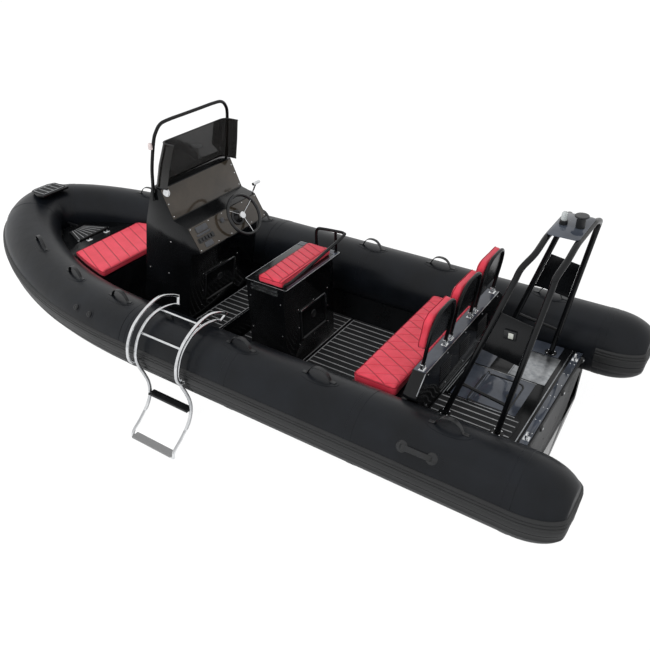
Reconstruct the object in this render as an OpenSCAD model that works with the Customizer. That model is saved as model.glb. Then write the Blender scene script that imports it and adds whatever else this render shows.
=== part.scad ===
// Rigid inflatable boat: deep-V hull, U-shaped buoyancy tube, console, helm seat,
// rear bench with three folding backrests, tow arch and boarding ladder.
// +X forward, +Y port, +Z up; x = 0 is the aft face of the transom, z = 0 the waterline.

/* [Tubes] */
// Radius of the buoyancy tubes
tube_r = 250; // [225:5:300]
// Height of the tube axis above the waterline, aft
tube_z = 430; // [400:5:480]
// Distance of each straight tube's axis from the centreline
tube_y = 880; // [740:5:1050]
// Where the straight tubes end and the bow curve begins
bow_start_x = 2920; // [2440:10:3500]
// Length of the bow curve along the centreline
bow_len = 2245; // [1950:5:2600]
// How far the tube axis rises at the bow
bow_rise = 160; // [100:5:220]
// Roundness of the bow curve (2 is an ellipse)
bow_power = 1.88; // [1.8:0.02:2.1]
// Position of the seam where each tail cone begins
cone_x = -115; // [-200:5:-80]
// Length of each tail cone
cone_len = 275; // [200:5:330]
// Half height of the rubbing strake
strake_half = 52; // [35:1:62]
// Thickness of the rubbing strake
strake_t = 16; // [10:1:24]

/* [Hull] */
// Depth of the keel below the waterline at the transom
keel_depth = 270; // [220:5:330]
// Depth of the chines below the waterline at the transom
chine_depth = 20; // [0:5:40]
// Height of the cockpit sole above the waterline
sole_z = 80; // [70:2:100]
// Thickness of the sole
sole_t = 20; // [15:1:25]
// Height of the transom above the waterline
transom_z = 460; // [450:5:480]
// Thickness of the transom
transom_t = 45; // [35:1:55]
// Height of the aft deck above the waterline
aft_deck_z = 440; // [425:1:445]
// Thickness of deck plates
deck_t = 14; // [10:1:20]

/* [Bow] */
// Height of the bow deck above the waterline
bow_deck_z = 520; // [490:5:535]
// Aft face of the bow locker
bow_box_x = 3765; // [3700:5:3900]
// Width of the anchor locker lid at its hinge
lid_w = 400; // [300:5:430]
// Length of the anchor locker lid
lid_len = 260; // [200:5:290]
// Top of the bow cushion above the waterline
bow_cushion_z = 556; // [545:1:580]

/* [Console] */
// Half width of the console
console_half = 407; // [340:1:480]
// Thickness of console and locker walls
wall = 8; // [6:1:12]
// Height of the foot step above the sole
step_h = 200; // [160:5:220]
// Depth of the foot step, fore and aft
step_len = 300; // [240:5:340]
// Diameter of the steering wheel
wheel_d = 350; // [300:5:380]
// Height of the windscreen
screen_h = 345; // [290:5:400]
// Thickness of the windscreen
screen_t = 5; // [4:0.5:8]

/* [Helm seat] */
// Aft face of the helm seat box
helm_x = 1960; // [1900:5:2020]
// Depth of the helm seat box, fore and aft
helm_len = 345; // [290:5:400]
// Half width of the helm seat box
helm_half = 330; // [275:5:380]
// Top of the helm cushion above the waterline
helm_top_z = 898; // [820:2:950]
// Thickness of the helm cushion
helm_cushion_t = 58; // [45:1:70]

/* [Rear seat] */
// Aft face of the rear seat box
rear_x = 662; // [640:2:700]
// Width of the raised ledge behind the bench, fore and aft
ledge_len = 93; // [80:1:105]
// Height of that ledge above the waterline
ledge_z = 765; // [740:5:800]
// Front face of the bench
bench_front_x = 1195; // [1150:5:1280]
// Top of the bench cushion above the waterline
bench_top_z = 579; // [565:1:620]
// Thickness of the bench cushion
bench_cushion_t = 78; // [60:1:85]
// Distance between neighbouring backrests, centre to centre
backrest_pitch = 398; // [380:2:410]
// Width between the legs of a backrest frame
backrest_w = 320; // [280:2:330]
// Height of a backrest above its hinge
backrest_h = 385; // [320:5:420]

/* [Arch] */
// Half width of the arch at its feet
arch_foot_y = 504; // [440:2:560]
// Half width of the arch at its top bar
arch_top_y = 183; // [150:2:220]
// Height of the arch above the aft deck
arch_h = 1203; // [1000:5:1300]
// Radius of the arch tube
arch_r = 19; // [16:1:22]

/* [Ladder] */
// Position of the ladder's middle along the boat
ladder_x = 2470; // [2420:10:2600]
// Distance between the two inner ladder rails
ladder_w = 420; // [360:10:440]
// Radius of the ladder tube
ladder_r = 13; // [11:0.5:14]

/* [Hinges] */
// Gap round a lid or door
lid_gap = 5; // [5:0.5:8]
// Radius of the lid hinge pins
pin_r = 3; // [2.5:0.1:3.5]
// Gap between a pin and its bore
pin_gap = 0.3; // [0.2:0.05:0.5]

/* [Hidden] */
$fn = 48;
seat_gap = 0.3;         // between a soft part and what it lies on
bow_x = bow_start_x + bow_len;
rise_x = bow_start_x + 0.35 * bow_len;
rise_power = 1.6;
hull_gap = 5.4;         // hull corner to tube skin: the flat between corners just clears it
shoulder_a = 53;        // angles below the tube's middle at which the hull meets it
wall_a = 31;
stem_s = 0.9;           // last hull rib, as a share of the bow curve
sole_side = 2;          // sole edge to hull wall
knuckle_r = 7;
pivot_out = 8;          // hinge axis above the skin of its lid
lug_t = 10;
web = 14;

function unit(v) = v / norm(v);
function clamp01(v) = max(0, min(1, v));

// ---- plan and sheer of the tube axis -------------------------------------------------
function axis_z(x) = tube_z + bow_rise * pow(clamp01((x - rise_x) / (bow_x - rise_x)), rise_power);
function bow_xy(s) = let (a = 90 * min(s, 2 - s))
    [bow_start_x + bow_len * pow(sin(a), 2 / bow_power),
     (s > 1 ? -1 : 1) * tube_y * pow(max(0, cos(a)), 2 / bow_power)];
function bow_out(s) = let (d = s <= 0 ? [1, 0] : s >= 2 ? [-1, 0] : abs(s - 1) < 0.001 ? [0, -1]
        : unit(bow_xy(min(2, s + 0.004)) - bow_xy(max(0, s - 0.004))))
    [-d[1], d[0], 0];
function axis_pt(s) = let (p = bow_xy(s)) [p[0], p[1], axis_z(p[0])];
// A point beside the tube axis: so far outboard and so far up
function beside(s, out, up) = axis_pt(s) + out * bow_out(s) + [0, 0, up];
function aft_beside(x, out, up) = [x, tube_y + out, tube_z + up];
function flip(p) = [p[0], -p[1], p[2]];
function reversed(l) = [for (i = [len(l) - 1:-1:0]) l[i]];

// Plan outline a set distance inboard of the tube axis, closed across the bow
function inner_plan(inset, x0) = let (
        side = [for (s = [0:0.03:0.93]) let (p = beside(s, -inset, 0)) [p[0], max(2, p[1])]],
        port = concat([[x0, tube_y - inset]], side))
    concat([for (p = reversed(port)) p], [for (p = port) [p[0], -p[1]]]);

// Solid through rings of equal point count, each running anticlockwise as seen by someone
// looking back along the rings. A ribbon's rings run out along one face and back along the
// other, and its ends are closed across the ribbon.
module loft(rings, ribbon = false) {
    n = len(rings[0]);
    m = len(rings);
    last = (m - 1) * n;
    sides = [for (i = [0:m - 2], j = [0:n - 1]) let (k = (j + 1) % n, a = i * n, b = a + n)
        each [[a + j, b + k, a + k], [a + j, b + j, b + k]]];
    caps = ribbon
        ? [for (j = [0:n / 2 - 2]) let (a = n - 1 - j, b = n - 2 - j)
            each [[j, j + 1, a], [j + 1, b, a], [last + j, last + a, last + j + 1],
                [last + j + 1, last + a, last + b]]]
        : [[for (j = [0:n - 1]) j], [for (j = [n - 1:-1:0]) last + j]];
    polyhedron([for (r = rings) each r], concat(sides, caps), convexity = 6);
}

// ---- swept round bars ----------------------------------------------------------------
function spline(p, n) = let (m = len(p)) concat([for (i = [0:m - 2], k = [0:n - 1]) let (
        t = k / n, a = p[max(0, i - 1)], b = p[i], c = p[i + 1], d = p[min(m - 1, i + 2)])
    0.5 * (2 * b + (c - a) * t + (2 * a - 5 * b + 4 * c - d) * t * t
        + (3 * b - a - 3 * c + d) * t * t * t)], [p[m - 1]]);
function path_dir(p, i) = unit(p[min(len(p) - 1, i + 1)] - p[max(0, i - 1)]);
// Ring of points round a path; ref is any direction that the path never runs along
function ring_at(p, d, ref, r, sides) = let (e = unit(ref - (ref * d) * d), u = cross(d, e))
    [for (k = [0:sides - 1]) p + r * (cos(360 * k / sides) * e + sin(360 * k / sides) * u)];
module bent_bar(path, ref, r, sides = 12)
    loft([for (i = [0:len(path) - 1]) ring_at(path[i], path_dir(path, i), ref, r, sides)]);
module rod(a, b, r) {
    d = b - a;
    translate(a) rotate([0, acos(d[2] / norm(d)), atan2(d[1], d[0])]) cylinder(h = norm(d), r = r);
}

// Plates: an outline in XZ made thick along Y, and one in YZ made thick along X
module xz_plate(outline, y0, y1)
    translate([0, y1, 0]) rotate([90, 0, 0]) linear_extrude(y1 - y0) polygon(outline);
module yz_plate(outline, x0, x1)
    translate([x0, 0, 0]) rotate([90, 0, 90]) linear_extrude(x1 - x0) polygon(outline);
// Rectangle round a centre with rounded corners
function round_rect(w, h, r) = [for (q = [0:3], a = [0:15:90]) let (
        cx = (w / 2 - r) * (q == 0 || q == 3 ? 1 : -1), cy = (h / 2 - r) * (q < 2 ? 1 : -1))
    [cx + r * cos(a + 90 * q), cy + r * sin(a + 90 * q)]];
// An outline moved inward by d
function inset(p, d) = let (m = len(p)) [for (i = [0:m - 1]) let (
        u = unit(p[i] - p[(i + m - 1) % m]), v = unit(p[(i + 1) % m] - p[i]),
        a = [-u[1], u[0]], b = [-v[1], v[0]])
    p[i] + d * (a + b) / (1 + a * b)];

// ---- lids and doors: X' out of the skin, Y' across, Z' away from the hinge ------------
module lid_pin(w) {
    translate([pivot_out, 0, 0]) rotate([90, 0, 0]) cylinder(h = w + 2 * lug_t, r = pin_r, center = true);
    for (k = [-1, 1]) translate([0, k * (w / 2 + lug_t / 2 + 1), 0])
        translate([0, -lug_t / 2, -knuckle_r]) cube([pivot_out + 6, lug_t, 2 * knuckle_r]);
}
module lid_knuckle(w) {
    difference() {
        union() {
            translate([pivot_out, 0, 0]) rotate([90, 0, 0])
                cylinder(h = w - 2 * lid_gap, r = knuckle_r, center = true);
            xz_plate([[pivot_out - 5, 2], [pivot_out + 2, 5], [-2, web + 4], [-2, lid_gap]],
                -w / 2 + lid_gap, w / 2 - lid_gap);
        }
        translate([pivot_out, 0, 0]) rotate([90, 0, 0])
            cylinder(h = w, r = pin_r + pin_gap, center = true);
    }
}
module lid_panel(w, h, t) translate([-t, -w / 2 + lid_gap, lid_gap])
    cube([t, w - 2 * lid_gap, h - 2 * lid_gap]);
module lid_cut(w, h, t) translate([-t - 1, -w / 2, 0]) cube([t + 2, w, h]);

// ---- places of the lids --------------------------------------------------------------
lid_x = 4495;                        // hinge line of the anchor locker lid
hatch_x = 482;                       // hinge line of the aft hatch
hatch_y = 130;
hatch_w = 340;
hatch_len = 262;
door_w = 345;
door_h = 262;
door_y = 45;
helm_door_w = 320;
helm_door_h = 250;
helm_door_y = -45;
helm_door_z = 285;
console_foot_x = 2950;
console_lean = 11.5;                 // aft face of the console, from the vertical
door_s = 335;                        // door hinge, measured up that face

module at_anchor_lid() translate([lid_x, 0, bow_deck_z]) rotate([0, -90, 180]) children();
module at_hatch() translate([hatch_x, hatch_y, aft_deck_z]) rotate([0, -90, 0]) children();
module at_console_door() translate([console_foot_x, door_y, sole_z]) rotate([0, -console_lean, 0])
    rotate([0, 0, 180]) translate([0, 0, door_s]) children();
module at_helm_door() translate([helm_x, helm_door_y, helm_door_z]) rotate([0, 0, 180]) children();

// ---- hull ----------------------------------------------------------------------------
rib_r = tube_r + hull_gap;
stem_x = bow_x - 300;                 // where keel and chines have risen to the stem
function keel_at(x) = let (u = clamp01((x - 1700) / (stem_x - 1700)))
    -keel_depth + (keel_depth + 300) * pow(u, 2.6);
function chine_at(x) = let (u = clamp01((x - 1200) / (stem_x - 1200)))
    -chine_depth + (chine_depth + 330) * pow(u, 2.2);
function half_rib(s_pt, w_pt, b_pt) = let (x = s_pt[0])
    [[x, 0, keel_at(x)], [x, 0.93 * s_pt[1], chine_at(x)], s_pt, w_pt, b_pt];
function full_rib(h) = concat(h, [for (i = [4:-1:1]) flip(h[i])]);
function aft_rib(x) = half_rib(aft_beside(x, -rib_r * cos(shoulder_a), -rib_r * sin(shoulder_a)),
    aft_beside(x, -rib_r * cos(wall_a), -rib_r * sin(wall_a)),
    [x, tube_y - tube_r + 10, sole_z - sole_t]);
function bow_rib(s) = let (b = beside(s, 10 - tube_r, 0))
    half_rib(beside(s, -rib_r * cos(shoulder_a), -rib_r * sin(shoulder_a)),
        beside(s, -rib_r * cos(wall_a), -rib_r * sin(wall_a)), [b[0], max(5, b[1]), sole_z - sole_t]);
module hull_shell() color("dimgray")
    loft([for (x = [0, 1200, 2100]) full_rib(aft_rib(x)),
        for (s = [0:0.06:stem_s]) full_rib(bow_rib(s))]);

module transom() color([0.12, 0.12, 0.13])
    difference() {
        yz_plate(let (b = tube_y - tube_r + 8, arc = [for (a = [-30:10:0])
                [tube_y - (tube_r + 4) * cos(a), tube_z + (tube_r + 4) * sin(a)]])
            concat([[-b, sole_z - sole_t], [b, sole_z - sole_t]], arc,
                [[tube_y - tube_r - 6, aft_deck_z], [540, transom_z]],
                [[-540, transom_z], [-(tube_y - tube_r - 6), aft_deck_z]],
                [for (p = reversed(arc)) [-p[0], p[1]]]),
            0, transom_t);
        // Outboard mounting holes: two upper, two lower
        for (k = [-1, 1], hole = [[163.9, 60], [125.4, 263.2]])
            translate([-1, k * hole[0], transom_z - hole[1]]) rotate([0, 90, 0])
                cylinder(h = transom_t + 2, r = 6.5);
    }

module sole() color([0.1, 0.1, 0.11])
    translate([0, 0, sole_z - sole_t]) linear_extrude(sole_t)
        intersection() {
            polygon(inner_plan(tube_r - 10 + sole_side, 0));
            translate([transom_t, -2000]) square([bow_box_x - transom_t, 4000]);
        }

module aft_deck() color([0.16, 0.17, 0.19]) {
    difference() {
        translate([transom_t, -(tube_y - tube_r - 8), aft_deck_z - deck_t])
            cube([rear_x - transom_t, 2 * (tube_y - tube_r - 8), deck_t]);
        at_hatch() lid_cut(hatch_w, hatch_len, deck_t);
    }
    at_hatch() lid_pin(hatch_w);
}
module aft_hatch_lid() color([0.3, 0.32, 0.35]) at_hatch() {
    lid_knuckle(hatch_w);
    lid_panel(hatch_w, hatch_len, deck_t);
}

// ---- tubes ---------------------------------------------------------------------------
module straight_tube(side) color([0.15, 0.16, 0.18]) {
    translate([cone_x, side * tube_y, tube_z]) rotate([0, 90, 0])
        cylinder(h = bow_start_x - cone_x, r = tube_r, $fn = 96);
    translate([cone_x, side * tube_y, tube_z]) rotate([0, -90, 0]) rotate_extrude($fn = 96)
        polygon(concat([[0, 0]],
            [for (a = [0:10:70]) [tube_r * (0.42 + 0.58 * cos(a)), cone_len * sin(a) / sin(75)]],
            [[tube_r * 0.42, cone_len * 0.99], [0, cone_len]]));
}
module port_tube() straight_tube(1);
module starboard_tube() straight_tube(-1);
module bow_tube() color([0.15, 0.16, 0.18])
    loft([for (s = [0:0.04:2.001])
        [for (k = [0:39]) beside(s, tube_r * cos(9 * k), tube_r * sin(9 * k))]]);

strake_a = asin(strake_half / tube_r);
strake_up = 6;                        // degrees that the strake sits above the tube's middle
module strake_section() difference() {
    circle(r = tube_r + strake_t, $fn = 96);
    circle(r = tube_r + 0.4, $fn = 96);
    rotate(strake_up + strake_a) translate([-2 * tube_r, 0]) square([4 * tube_r, 2 * tube_r]);
    rotate(strake_up - strake_a) translate([-2 * tube_r, -2 * tube_r]) square([4 * tube_r, 2 * tube_r]);
    translate([-2 * tube_r, -tube_r * 2]) square([2 * tube_r, 4 * tube_r]);
}
module rub_strakes() color([0.07, 0.07, 0.08]) {
    for (side = [-1, 1]) translate([cone_x, side * tube_y, tube_z])
        rotate([90, 0, 90]) mirror([side < 0 ? 1 : 0, 0])
            linear_extrude(bow_start_x - cone_x - 1) strake_section();
    loft([for (s = [0:0.04:2.001]) concat(
        [for (k = [0:4]) let (a = strake_up - strake_a + k * strake_a / 2)
            beside(s, (tube_r + strake_t) * cos(a), (tube_r + strake_t) * sin(a))],
        [for (k = [4:-1:0]) let (a = strake_up - strake_a + k * strake_a / 2)
            beside(s, (tube_r + 1) * cos(a), (tube_r + 1) * sin(a))])], ribbon = true);
}

// ---- bow -----------------------------------------------------------------------------
bow_step_z = axis_z(bow_x) + tube_r + 8;
bow_seat_len = 550;
bow_cushion_t = 60;
bow_seat_z = bow_cushion_z - bow_cushion_t - seat_gap;
module bow_step() color([0.1, 0.1, 0.11]) {
    translate([bow_x - 223, -165, bow_step_z]) linear_extrude(22)
        polygon([[0, 20], [60, 0], [215, 45], [235, 90], [235, 240], [215, 285], [60, 330], [0, 310]]);
    // Feet on the crown of the tube
    for (s = [0.925, 1, 1.075]) let (p = beside(s, 0, tube_r + seat_gap))
        translate(p) cylinder(h = bow_step_z + 1 - p[2], r = 10);
}
module bow_locker() color([0.08, 0.08, 0.09]) {
    difference() {
        translate([0, 0, sole_z - sole_t]) linear_extrude(bow_deck_z - sole_z + sole_t)
            intersection() {
                polygon(inner_plan(tube_r + 3, 0));
                translate([bow_box_x, -2000]) square([1085, 4000]);
            }
        // Step down under the cushion
        translate([bow_box_x - 1, -2000, bow_seat_z]) cube([bow_seat_len + 1, 4000, bow_deck_z]);
        // Anchor well under the lid, narrower forward
        translate([0, 0, bow_deck_z - 260]) linear_extrude(260 + 1)
            polygon([[lid_x, -lid_w / 2], [lid_x + lid_len, -lid_w / 4],
                [lid_x + lid_len, lid_w / 4], [lid_x, lid_w / 2]]);
    }
    at_anchor_lid() lid_pin(lid_w * 0.8);
}
module anchor_locker_lid() color([0.13, 0.13, 0.14]) at_anchor_lid() {
    lid_knuckle(lid_w * 0.8);
    translate([-deck_t, 0, 0]) rotate([90, 0, 90]) linear_extrude(deck_t)
        polygon([[-lid_w / 2 + 8, lid_gap], [lid_w / 2 - 8, lid_gap],
            [lid_w / 4 - 8, lid_len - lid_gap], [-lid_w / 4 + 8, lid_len - lid_gap]]);
}
module bow_cleat() color([0.05, 0.05, 0.05]) translate([4800, 0, bow_deck_z]) {
    for (x = [-35, 35]) translate([x, 0, 0]) cylinder(h = 32, r = 9);
    translate([-75, 0, 36]) rotate([0, 90, 0]) cylinder(h = 150, r = 9);
}
module bow_seat_cushion() color([0.82, 0.2, 0.25])
    translate([0, 0, bow_seat_z + seat_gap]) linear_extrude(bow_cushion_t)
        intersection() {
            polygon(inner_plan(tube_r + 16, 0));
            translate([bow_box_x + 2, -2000]) square([bow_seat_len - 4, 4000]);
        }

// ---- console -------------------------------------------------------------------------
console_profile = [[console_foot_x, sole_z], [3460, sole_z], [3226, 1109], [3100, 1430], [3015, 1423],
    [2917, 1193], [2781, 1160], [2671, 976], [2775, 940]];
helm_y = -100;
helm_at = [2726, helm_y, 1068];       // middle of the instrument panel at the helm
helm_tilt = -59.1;                    // instrument panel's outward normal, from the vertical
module at_helm() translate(helm_at) rotate([0, helm_tilt, 0]) children();
module console_body() color([0.09, 0.09, 0.1]) {
    difference() {
        xz_plate(console_profile, -console_half, console_half);
        xz_plate(inset(console_profile, wall), -console_half + wall, console_half - wall);
        at_console_door() lid_cut(door_w, door_h, wall);
        at_helm() translate([0, 0, -wall - 3]) cylinder(h = wall + 6, r = 26);
    }
    at_console_door() lid_pin(door_w);
}
module console_door() color([0.16, 0.16, 0.18]) at_console_door() {
    lid_knuckle(door_w);
    lid_panel(door_w, door_h, wall);
}
module foot_step() color([0.08, 0.08, 0.09])
    xz_plate([[console_foot_x - step_len - 40, sole_z], [console_foot_x - 1, sole_z],
        [console_foot_x - 1 - step_h * tan(console_lean), sole_z + step_h],
        [console_foot_x - step_len - 40, sole_z + step_h]], -console_half + 7, console_half - 7);
module helm_bezel() color([0.05, 0.05, 0.05]) at_helm() {
    difference() {
        union() {
            translate([0, 0, seat_gap]) cylinder(h = 14, r = 62);
            translate([0, 0, 14]) cylinder(h = 38, r1 = 44, r2 = 32);
            translate([0, 0, -40]) cylinder(h = 41, r = 24);
        }
        translate([0, 0, -20]) cylinder(h = 80, r = 10.4);
    }
}
module steering_wheel() color([0.1, 0.1, 0.1]) at_helm() {
    translate([0, 0, 92]) rotate_extrude($fn = 96) translate([wheel_d / 2 - 14, 0]) circle(r = 14, $fn = 32);
    translate([0, 0, -15]) cylinder(h = 92, r = 10);
    translate([0, 0, 62]) cylinder(h = 20, r = 30);
    for (a = [60, 180, 300]) rotate([0, 0, a]) rod([20, 0, 72], [wheel_d / 2 - 16, 0, 91], 6);
}
module throttle_control() color([0.7, 0.7, 0.72]) translate([2850, -console_half, 1120]) {
    translate([0, -34, 0]) rotate([-90, 0, 0]) cylinder(h = 34 - seat_gap, r = 38);
    translate([0, -48, 0]) rotate([-90, 0, 0]) cylinder(h = 14, r = 24);
    rod([0, -42, 0], [-52, -48, 110], 7);
    translate([-52, -48, 110]) rotate([90, 0, 0]) cylinder(h = 80, r = 13, center = true);
}
module nav_light() color([0.9, 0.9, 0.88]) translate([3004, console_half + 32, 1745]) {
    cylinder(h = 34, r = 16);
    translate([0, 0, 34]) sphere(16);
}
// Curved screen: a wide middle pane with a wing swept aft on each side
screen_x = 3092;
screen_top_x = 2988;
function screen_plan(w, x, back) = concat(
    [for (a = [0:15:75]) [x - 60 + 60 * cos(a), w - 60 + 60 * sin(a)]], [[x - back, w]]);
function screen_ring(x, w, back, z, t) = let (
        o = screen_plan(w, x, back),
        i = screen_plan(w - t, x - t, back - t),
        port_o = [for (p = o) [p[0], p[1], z]], port_i = [for (p = i) [p[0], p[1], z]])
    concat([for (p = reversed(port_o)) flip(p)], port_o, reversed(port_i), [for (p = port_i) flip(p)]);
module windscreen() color([0.15, 0.15, 0.16, 0.8])
    loft([screen_ring(screen_x, 398, 150, 1430.3, screen_t),
        screen_ring((screen_x + screen_top_x) / 2 + 6, 382, 150, 1430 + screen_h / 2, screen_t),
        screen_ring(screen_top_x, 355, 140, 1430 + screen_h, screen_t)], ribbon = true);
rail_r = 13;
module windscreen_rail() color([0.05, 0.05, 0.05]) {
    half = [[3085, 420.5, 1330], [3040, 420.5, 1600], [2999, 405, 1790], [2985, 380, 1860],
        [2980, 330, 1905], [2980, 240, 1915]];
    bent_bar(spline(concat(half, [for (p = reversed(half)) flip(p)]), 3), [1, 0, 0], rail_r);
}

// ---- helm seat -----------------------------------------------------------------------
helm_tray_z = helm_top_z - helm_cushion_t - seat_gap;
module helm_seat_box() color([0.08, 0.08, 0.09]) {
    difference() {
        translate([helm_x, -helm_half, sole_z]) cube([helm_len, 2 * helm_half, helm_tray_z - sole_z]);
        translate([helm_x + wall, -helm_half + wall, sole_z + wall])
            cube([helm_len - 2 * wall, 2 * helm_half - 2 * wall, helm_tray_z - sole_z - 2 * wall]);
        at_helm_door() lid_cut(helm_door_w, helm_door_h, wall);
    }
    translate([helm_x - 34, -helm_half - 64, helm_tray_z - 12])
        cube([helm_len + 40, 2 * helm_half + 72, 12]);
    at_helm_door() lid_pin(helm_door_w);
}
module helm_seat_door() color([0.16, 0.16, 0.18]) at_helm_door() {
    lid_knuckle(helm_door_w);
    lid_panel(helm_door_w, helm_door_h, wall);
}
module helm_seat_cushion() color([0.86, 0.22, 0.27])
    translate([helm_x + 122, 0, helm_tray_z + seat_gap]) linear_extrude(helm_cushion_t)
        polygon(round_rect(236, 2 * helm_half + 12, 22));
module helm_seat_rail() color([0.06, 0.06, 0.06]) {
    foot_z = helm_tray_z + seat_gap;
    rail_y = -helm_half - 50;
    rail_x = helm_x + 186;
    port_x = helm_x - 15;
    port_y = helm_half - 8;
    bent_bar(spline([[rail_x, rail_y, foot_z], [rail_x, rail_y, foot_z + 120],
        [rail_x - 16, rail_y, foot_z + 160], [rail_x - 56, rail_y, foot_z + 172],
        [helm_x - 30, rail_y, foot_z + 184], [helm_x - 78, rail_y + 8, foot_z + 186],
        [helm_x - 98, rail_y + 50, foot_z + 180], [port_x - 45, port_y - 58, foot_z + 72],
        [port_x - 33, port_y - 13, foot_z + 60], [port_x, port_y, foot_z + 35], [port_x, port_y, foot_z + 18],
        [port_x, port_y, foot_z]], 3), unit([1, 1, 1]), 12);
    rod([helm_x, rail_y, foot_z], [helm_x, rail_y, foot_z + 178], 12);
}

// ---- rear seat -----------------------------------------------------------------------
bench_half = tube_y - tube_r - 15;
bench_seat_z = bench_top_z - bench_cushion_t - seat_gap;
ledge_half = 593;
module rear_seat_box() color([0.07, 0.07, 0.08]) {
    translate([rear_x, -bench_half, sole_z])
        cube([bench_front_x - rear_x, 2 * bench_half, bench_seat_z - sole_z]);
    yz_plate(let (arc = [for (a = [16:9:52])
            [tube_y - (tube_r + 12) * cos(a), tube_z + (tube_r + 12) * sin(a)]])
        concat([[-bench_half, bench_seat_z - 2], [bench_half, bench_seat_z - 2]], arc,
            [[ledge_half + 118, ledge_z - 108], [ledge_half, ledge_z]],
            [[-ledge_half, ledge_z], [-ledge_half - 118, ledge_z - 108]],
            [for (p = reversed(arc)) [-p[0], p[1]]]),
        rear_x, rear_x + ledge_len);
}
module rear_seat_cushion() color([0.86, 0.22, 0.27])
    translate([(855 + bench_front_x + 6) / 2 - 3, 0, bench_seat_z + seat_gap]) linear_extrude(bench_cushion_t)
        polygon(round_rect(bench_front_x + 6 - 855, 2 * bench_half, 26));

// Backrests: hinge axis across the boat, above the ledge
hinge_x = rear_x + 42;
hinge_z = ledge_z + 36;
hinge_pin_r = 5;
hinge_boss_r = 14;
backrest_lean = 9;                    // degrees aft of upright at rest
backrest_tube_r = 12.5;
module at_backrest(n) translate([hinge_x, n * backrest_pitch, hinge_z])
    rotate([0, -backrest_lean, 0]) children();
module backrest_clevises() color([0.75, 0.75, 0.77])
    for (n = [-1:1], k = [-1, 1]) translate([hinge_x, n * backrest_pitch + k * backrest_w / 2, ledge_z]) {
        translate([-20, -24, 0]) cube([40, 48, 4]);
        for (j = [-1, 1]) translate([-11, j * 17 - 2, 3]) cube([22, 4, 36 + 6]);
        translate([0, 0, hinge_z - ledge_z]) rotate([90, 0, 0])
            cylinder(h = 40, r = hinge_pin_r, center = true);
    }
module backrest_frame(n) color([0.07, 0.07, 0.08]) at_backrest(n) {
    w = backrest_w / 2;
    h = backrest_h - backrest_tube_r;
    half = [[0, w, 8], [0, w, 30], [0, w + 1, h * 0.35], [0, w - 2, h * 0.62], [0, w - 18, h * 0.8],
        [0, w - 52, h * 0.94], [0, w - 105, h]];
    bent_bar(spline(concat(half, [for (p = reversed(half)) flip(p)]), 3), [1, 0, 0], backrest_tube_r);
    for (k = [-1, 1]) difference() {
        translate([0, k * w, 0]) rotate([90, 0, 0]) cylinder(h = 26, r = hinge_boss_r, center = true);
        translate([0, k * w, 0]) rotate([90, 0, 0])
            cylinder(h = 40, r = hinge_pin_r + pin_gap, center = true);
    }
    // Moulded shell that carries the pad
    edge = concat([[w, 100]], [for (i = [2:6]) [half[i][1], half[i][2]]]);
    yz_plate(concat(edge, [for (p = reversed(edge)) [-p[0], p[1]]]), 3, 10);
}
module backrest_pad(n) color([0.86, 0.2, 0.25]) at_backrest(n)
    translate([backrest_tube_r + seat_gap, 0, 72 + (backrest_h - 97) / 2]) rotate([90, 0, 90])
        linear_extrude(62)
            polygon(round_rect(backrest_w + 20, backrest_h - 97, 60));

// ---- arch ----------------------------------------------------------------------------
arch_front_x = 553;
arch_rear_x = 200;
arch_top_front_x = 187;
arch_top_rear_x = 15;
arch_bend = 0.914;                    // height of the bend, as a share of the arch
arch_bend_y = 400;
foot_in = 7;                          // how far the tube's end stands above the deck, in its plate
// Point on a leg at a height above the aft deck
function leg_pt(x0, x1, side, z) = let (t = z / (arch_h * arch_bend), xb = x0 + (x1 - x0) * 0.88)
    [x0 + (xb - x0) * t, side * (arch_foot_y + (arch_bend_y - arch_foot_y) * t), aft_deck_z + z];
function hoop(x0, x1) = let (
        half = concat([for (z = [foot_in, for (k = [0.34, 0.66, 0.84]) k * arch_h]) leg_pt(x0, x1, 1, z)],
            [leg_pt(x0, x1, 1, arch_h * arch_bend),
            [x1 + (x0 - x1) * 0.024, arch_bend_y - 95, aft_deck_z + arch_h * 0.962],
            [x1, arch_top_y, aft_deck_z + arch_h - 4], [x1, arch_top_y - 70, aft_deck_z + arch_h],
            [x1, 30, aft_deck_z + arch_h]]))
    concat(half, [for (p = reversed(half)) flip(p)]);
module arch_frame() color([0.06, 0.06, 0.07]) {
    bent_bar(spline(hoop(arch_front_x, arch_top_front_x), 3), [1, 0, 0], arch_r);
    bent_bar(spline(hoop(arch_rear_x, arch_top_rear_x), 3), [1, 0, 0], arch_r);
    for (side = [-1, 1]) {
        rod(leg_pt(arch_front_x, arch_top_front_x, side, 260),
            leg_pt(arch_rear_x, arch_top_rear_x, side, 215), 11);
        for (x = [arch_front_x, arch_rear_x])
            translate([x, side * arch_foot_y, aft_deck_z]) cylinder(h = 8, r = 42);
    }
}
panel_t = 6;
arch_lean = atan((arch_foot_y - arch_bend_y) / (arch_h * arch_bend));
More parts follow.
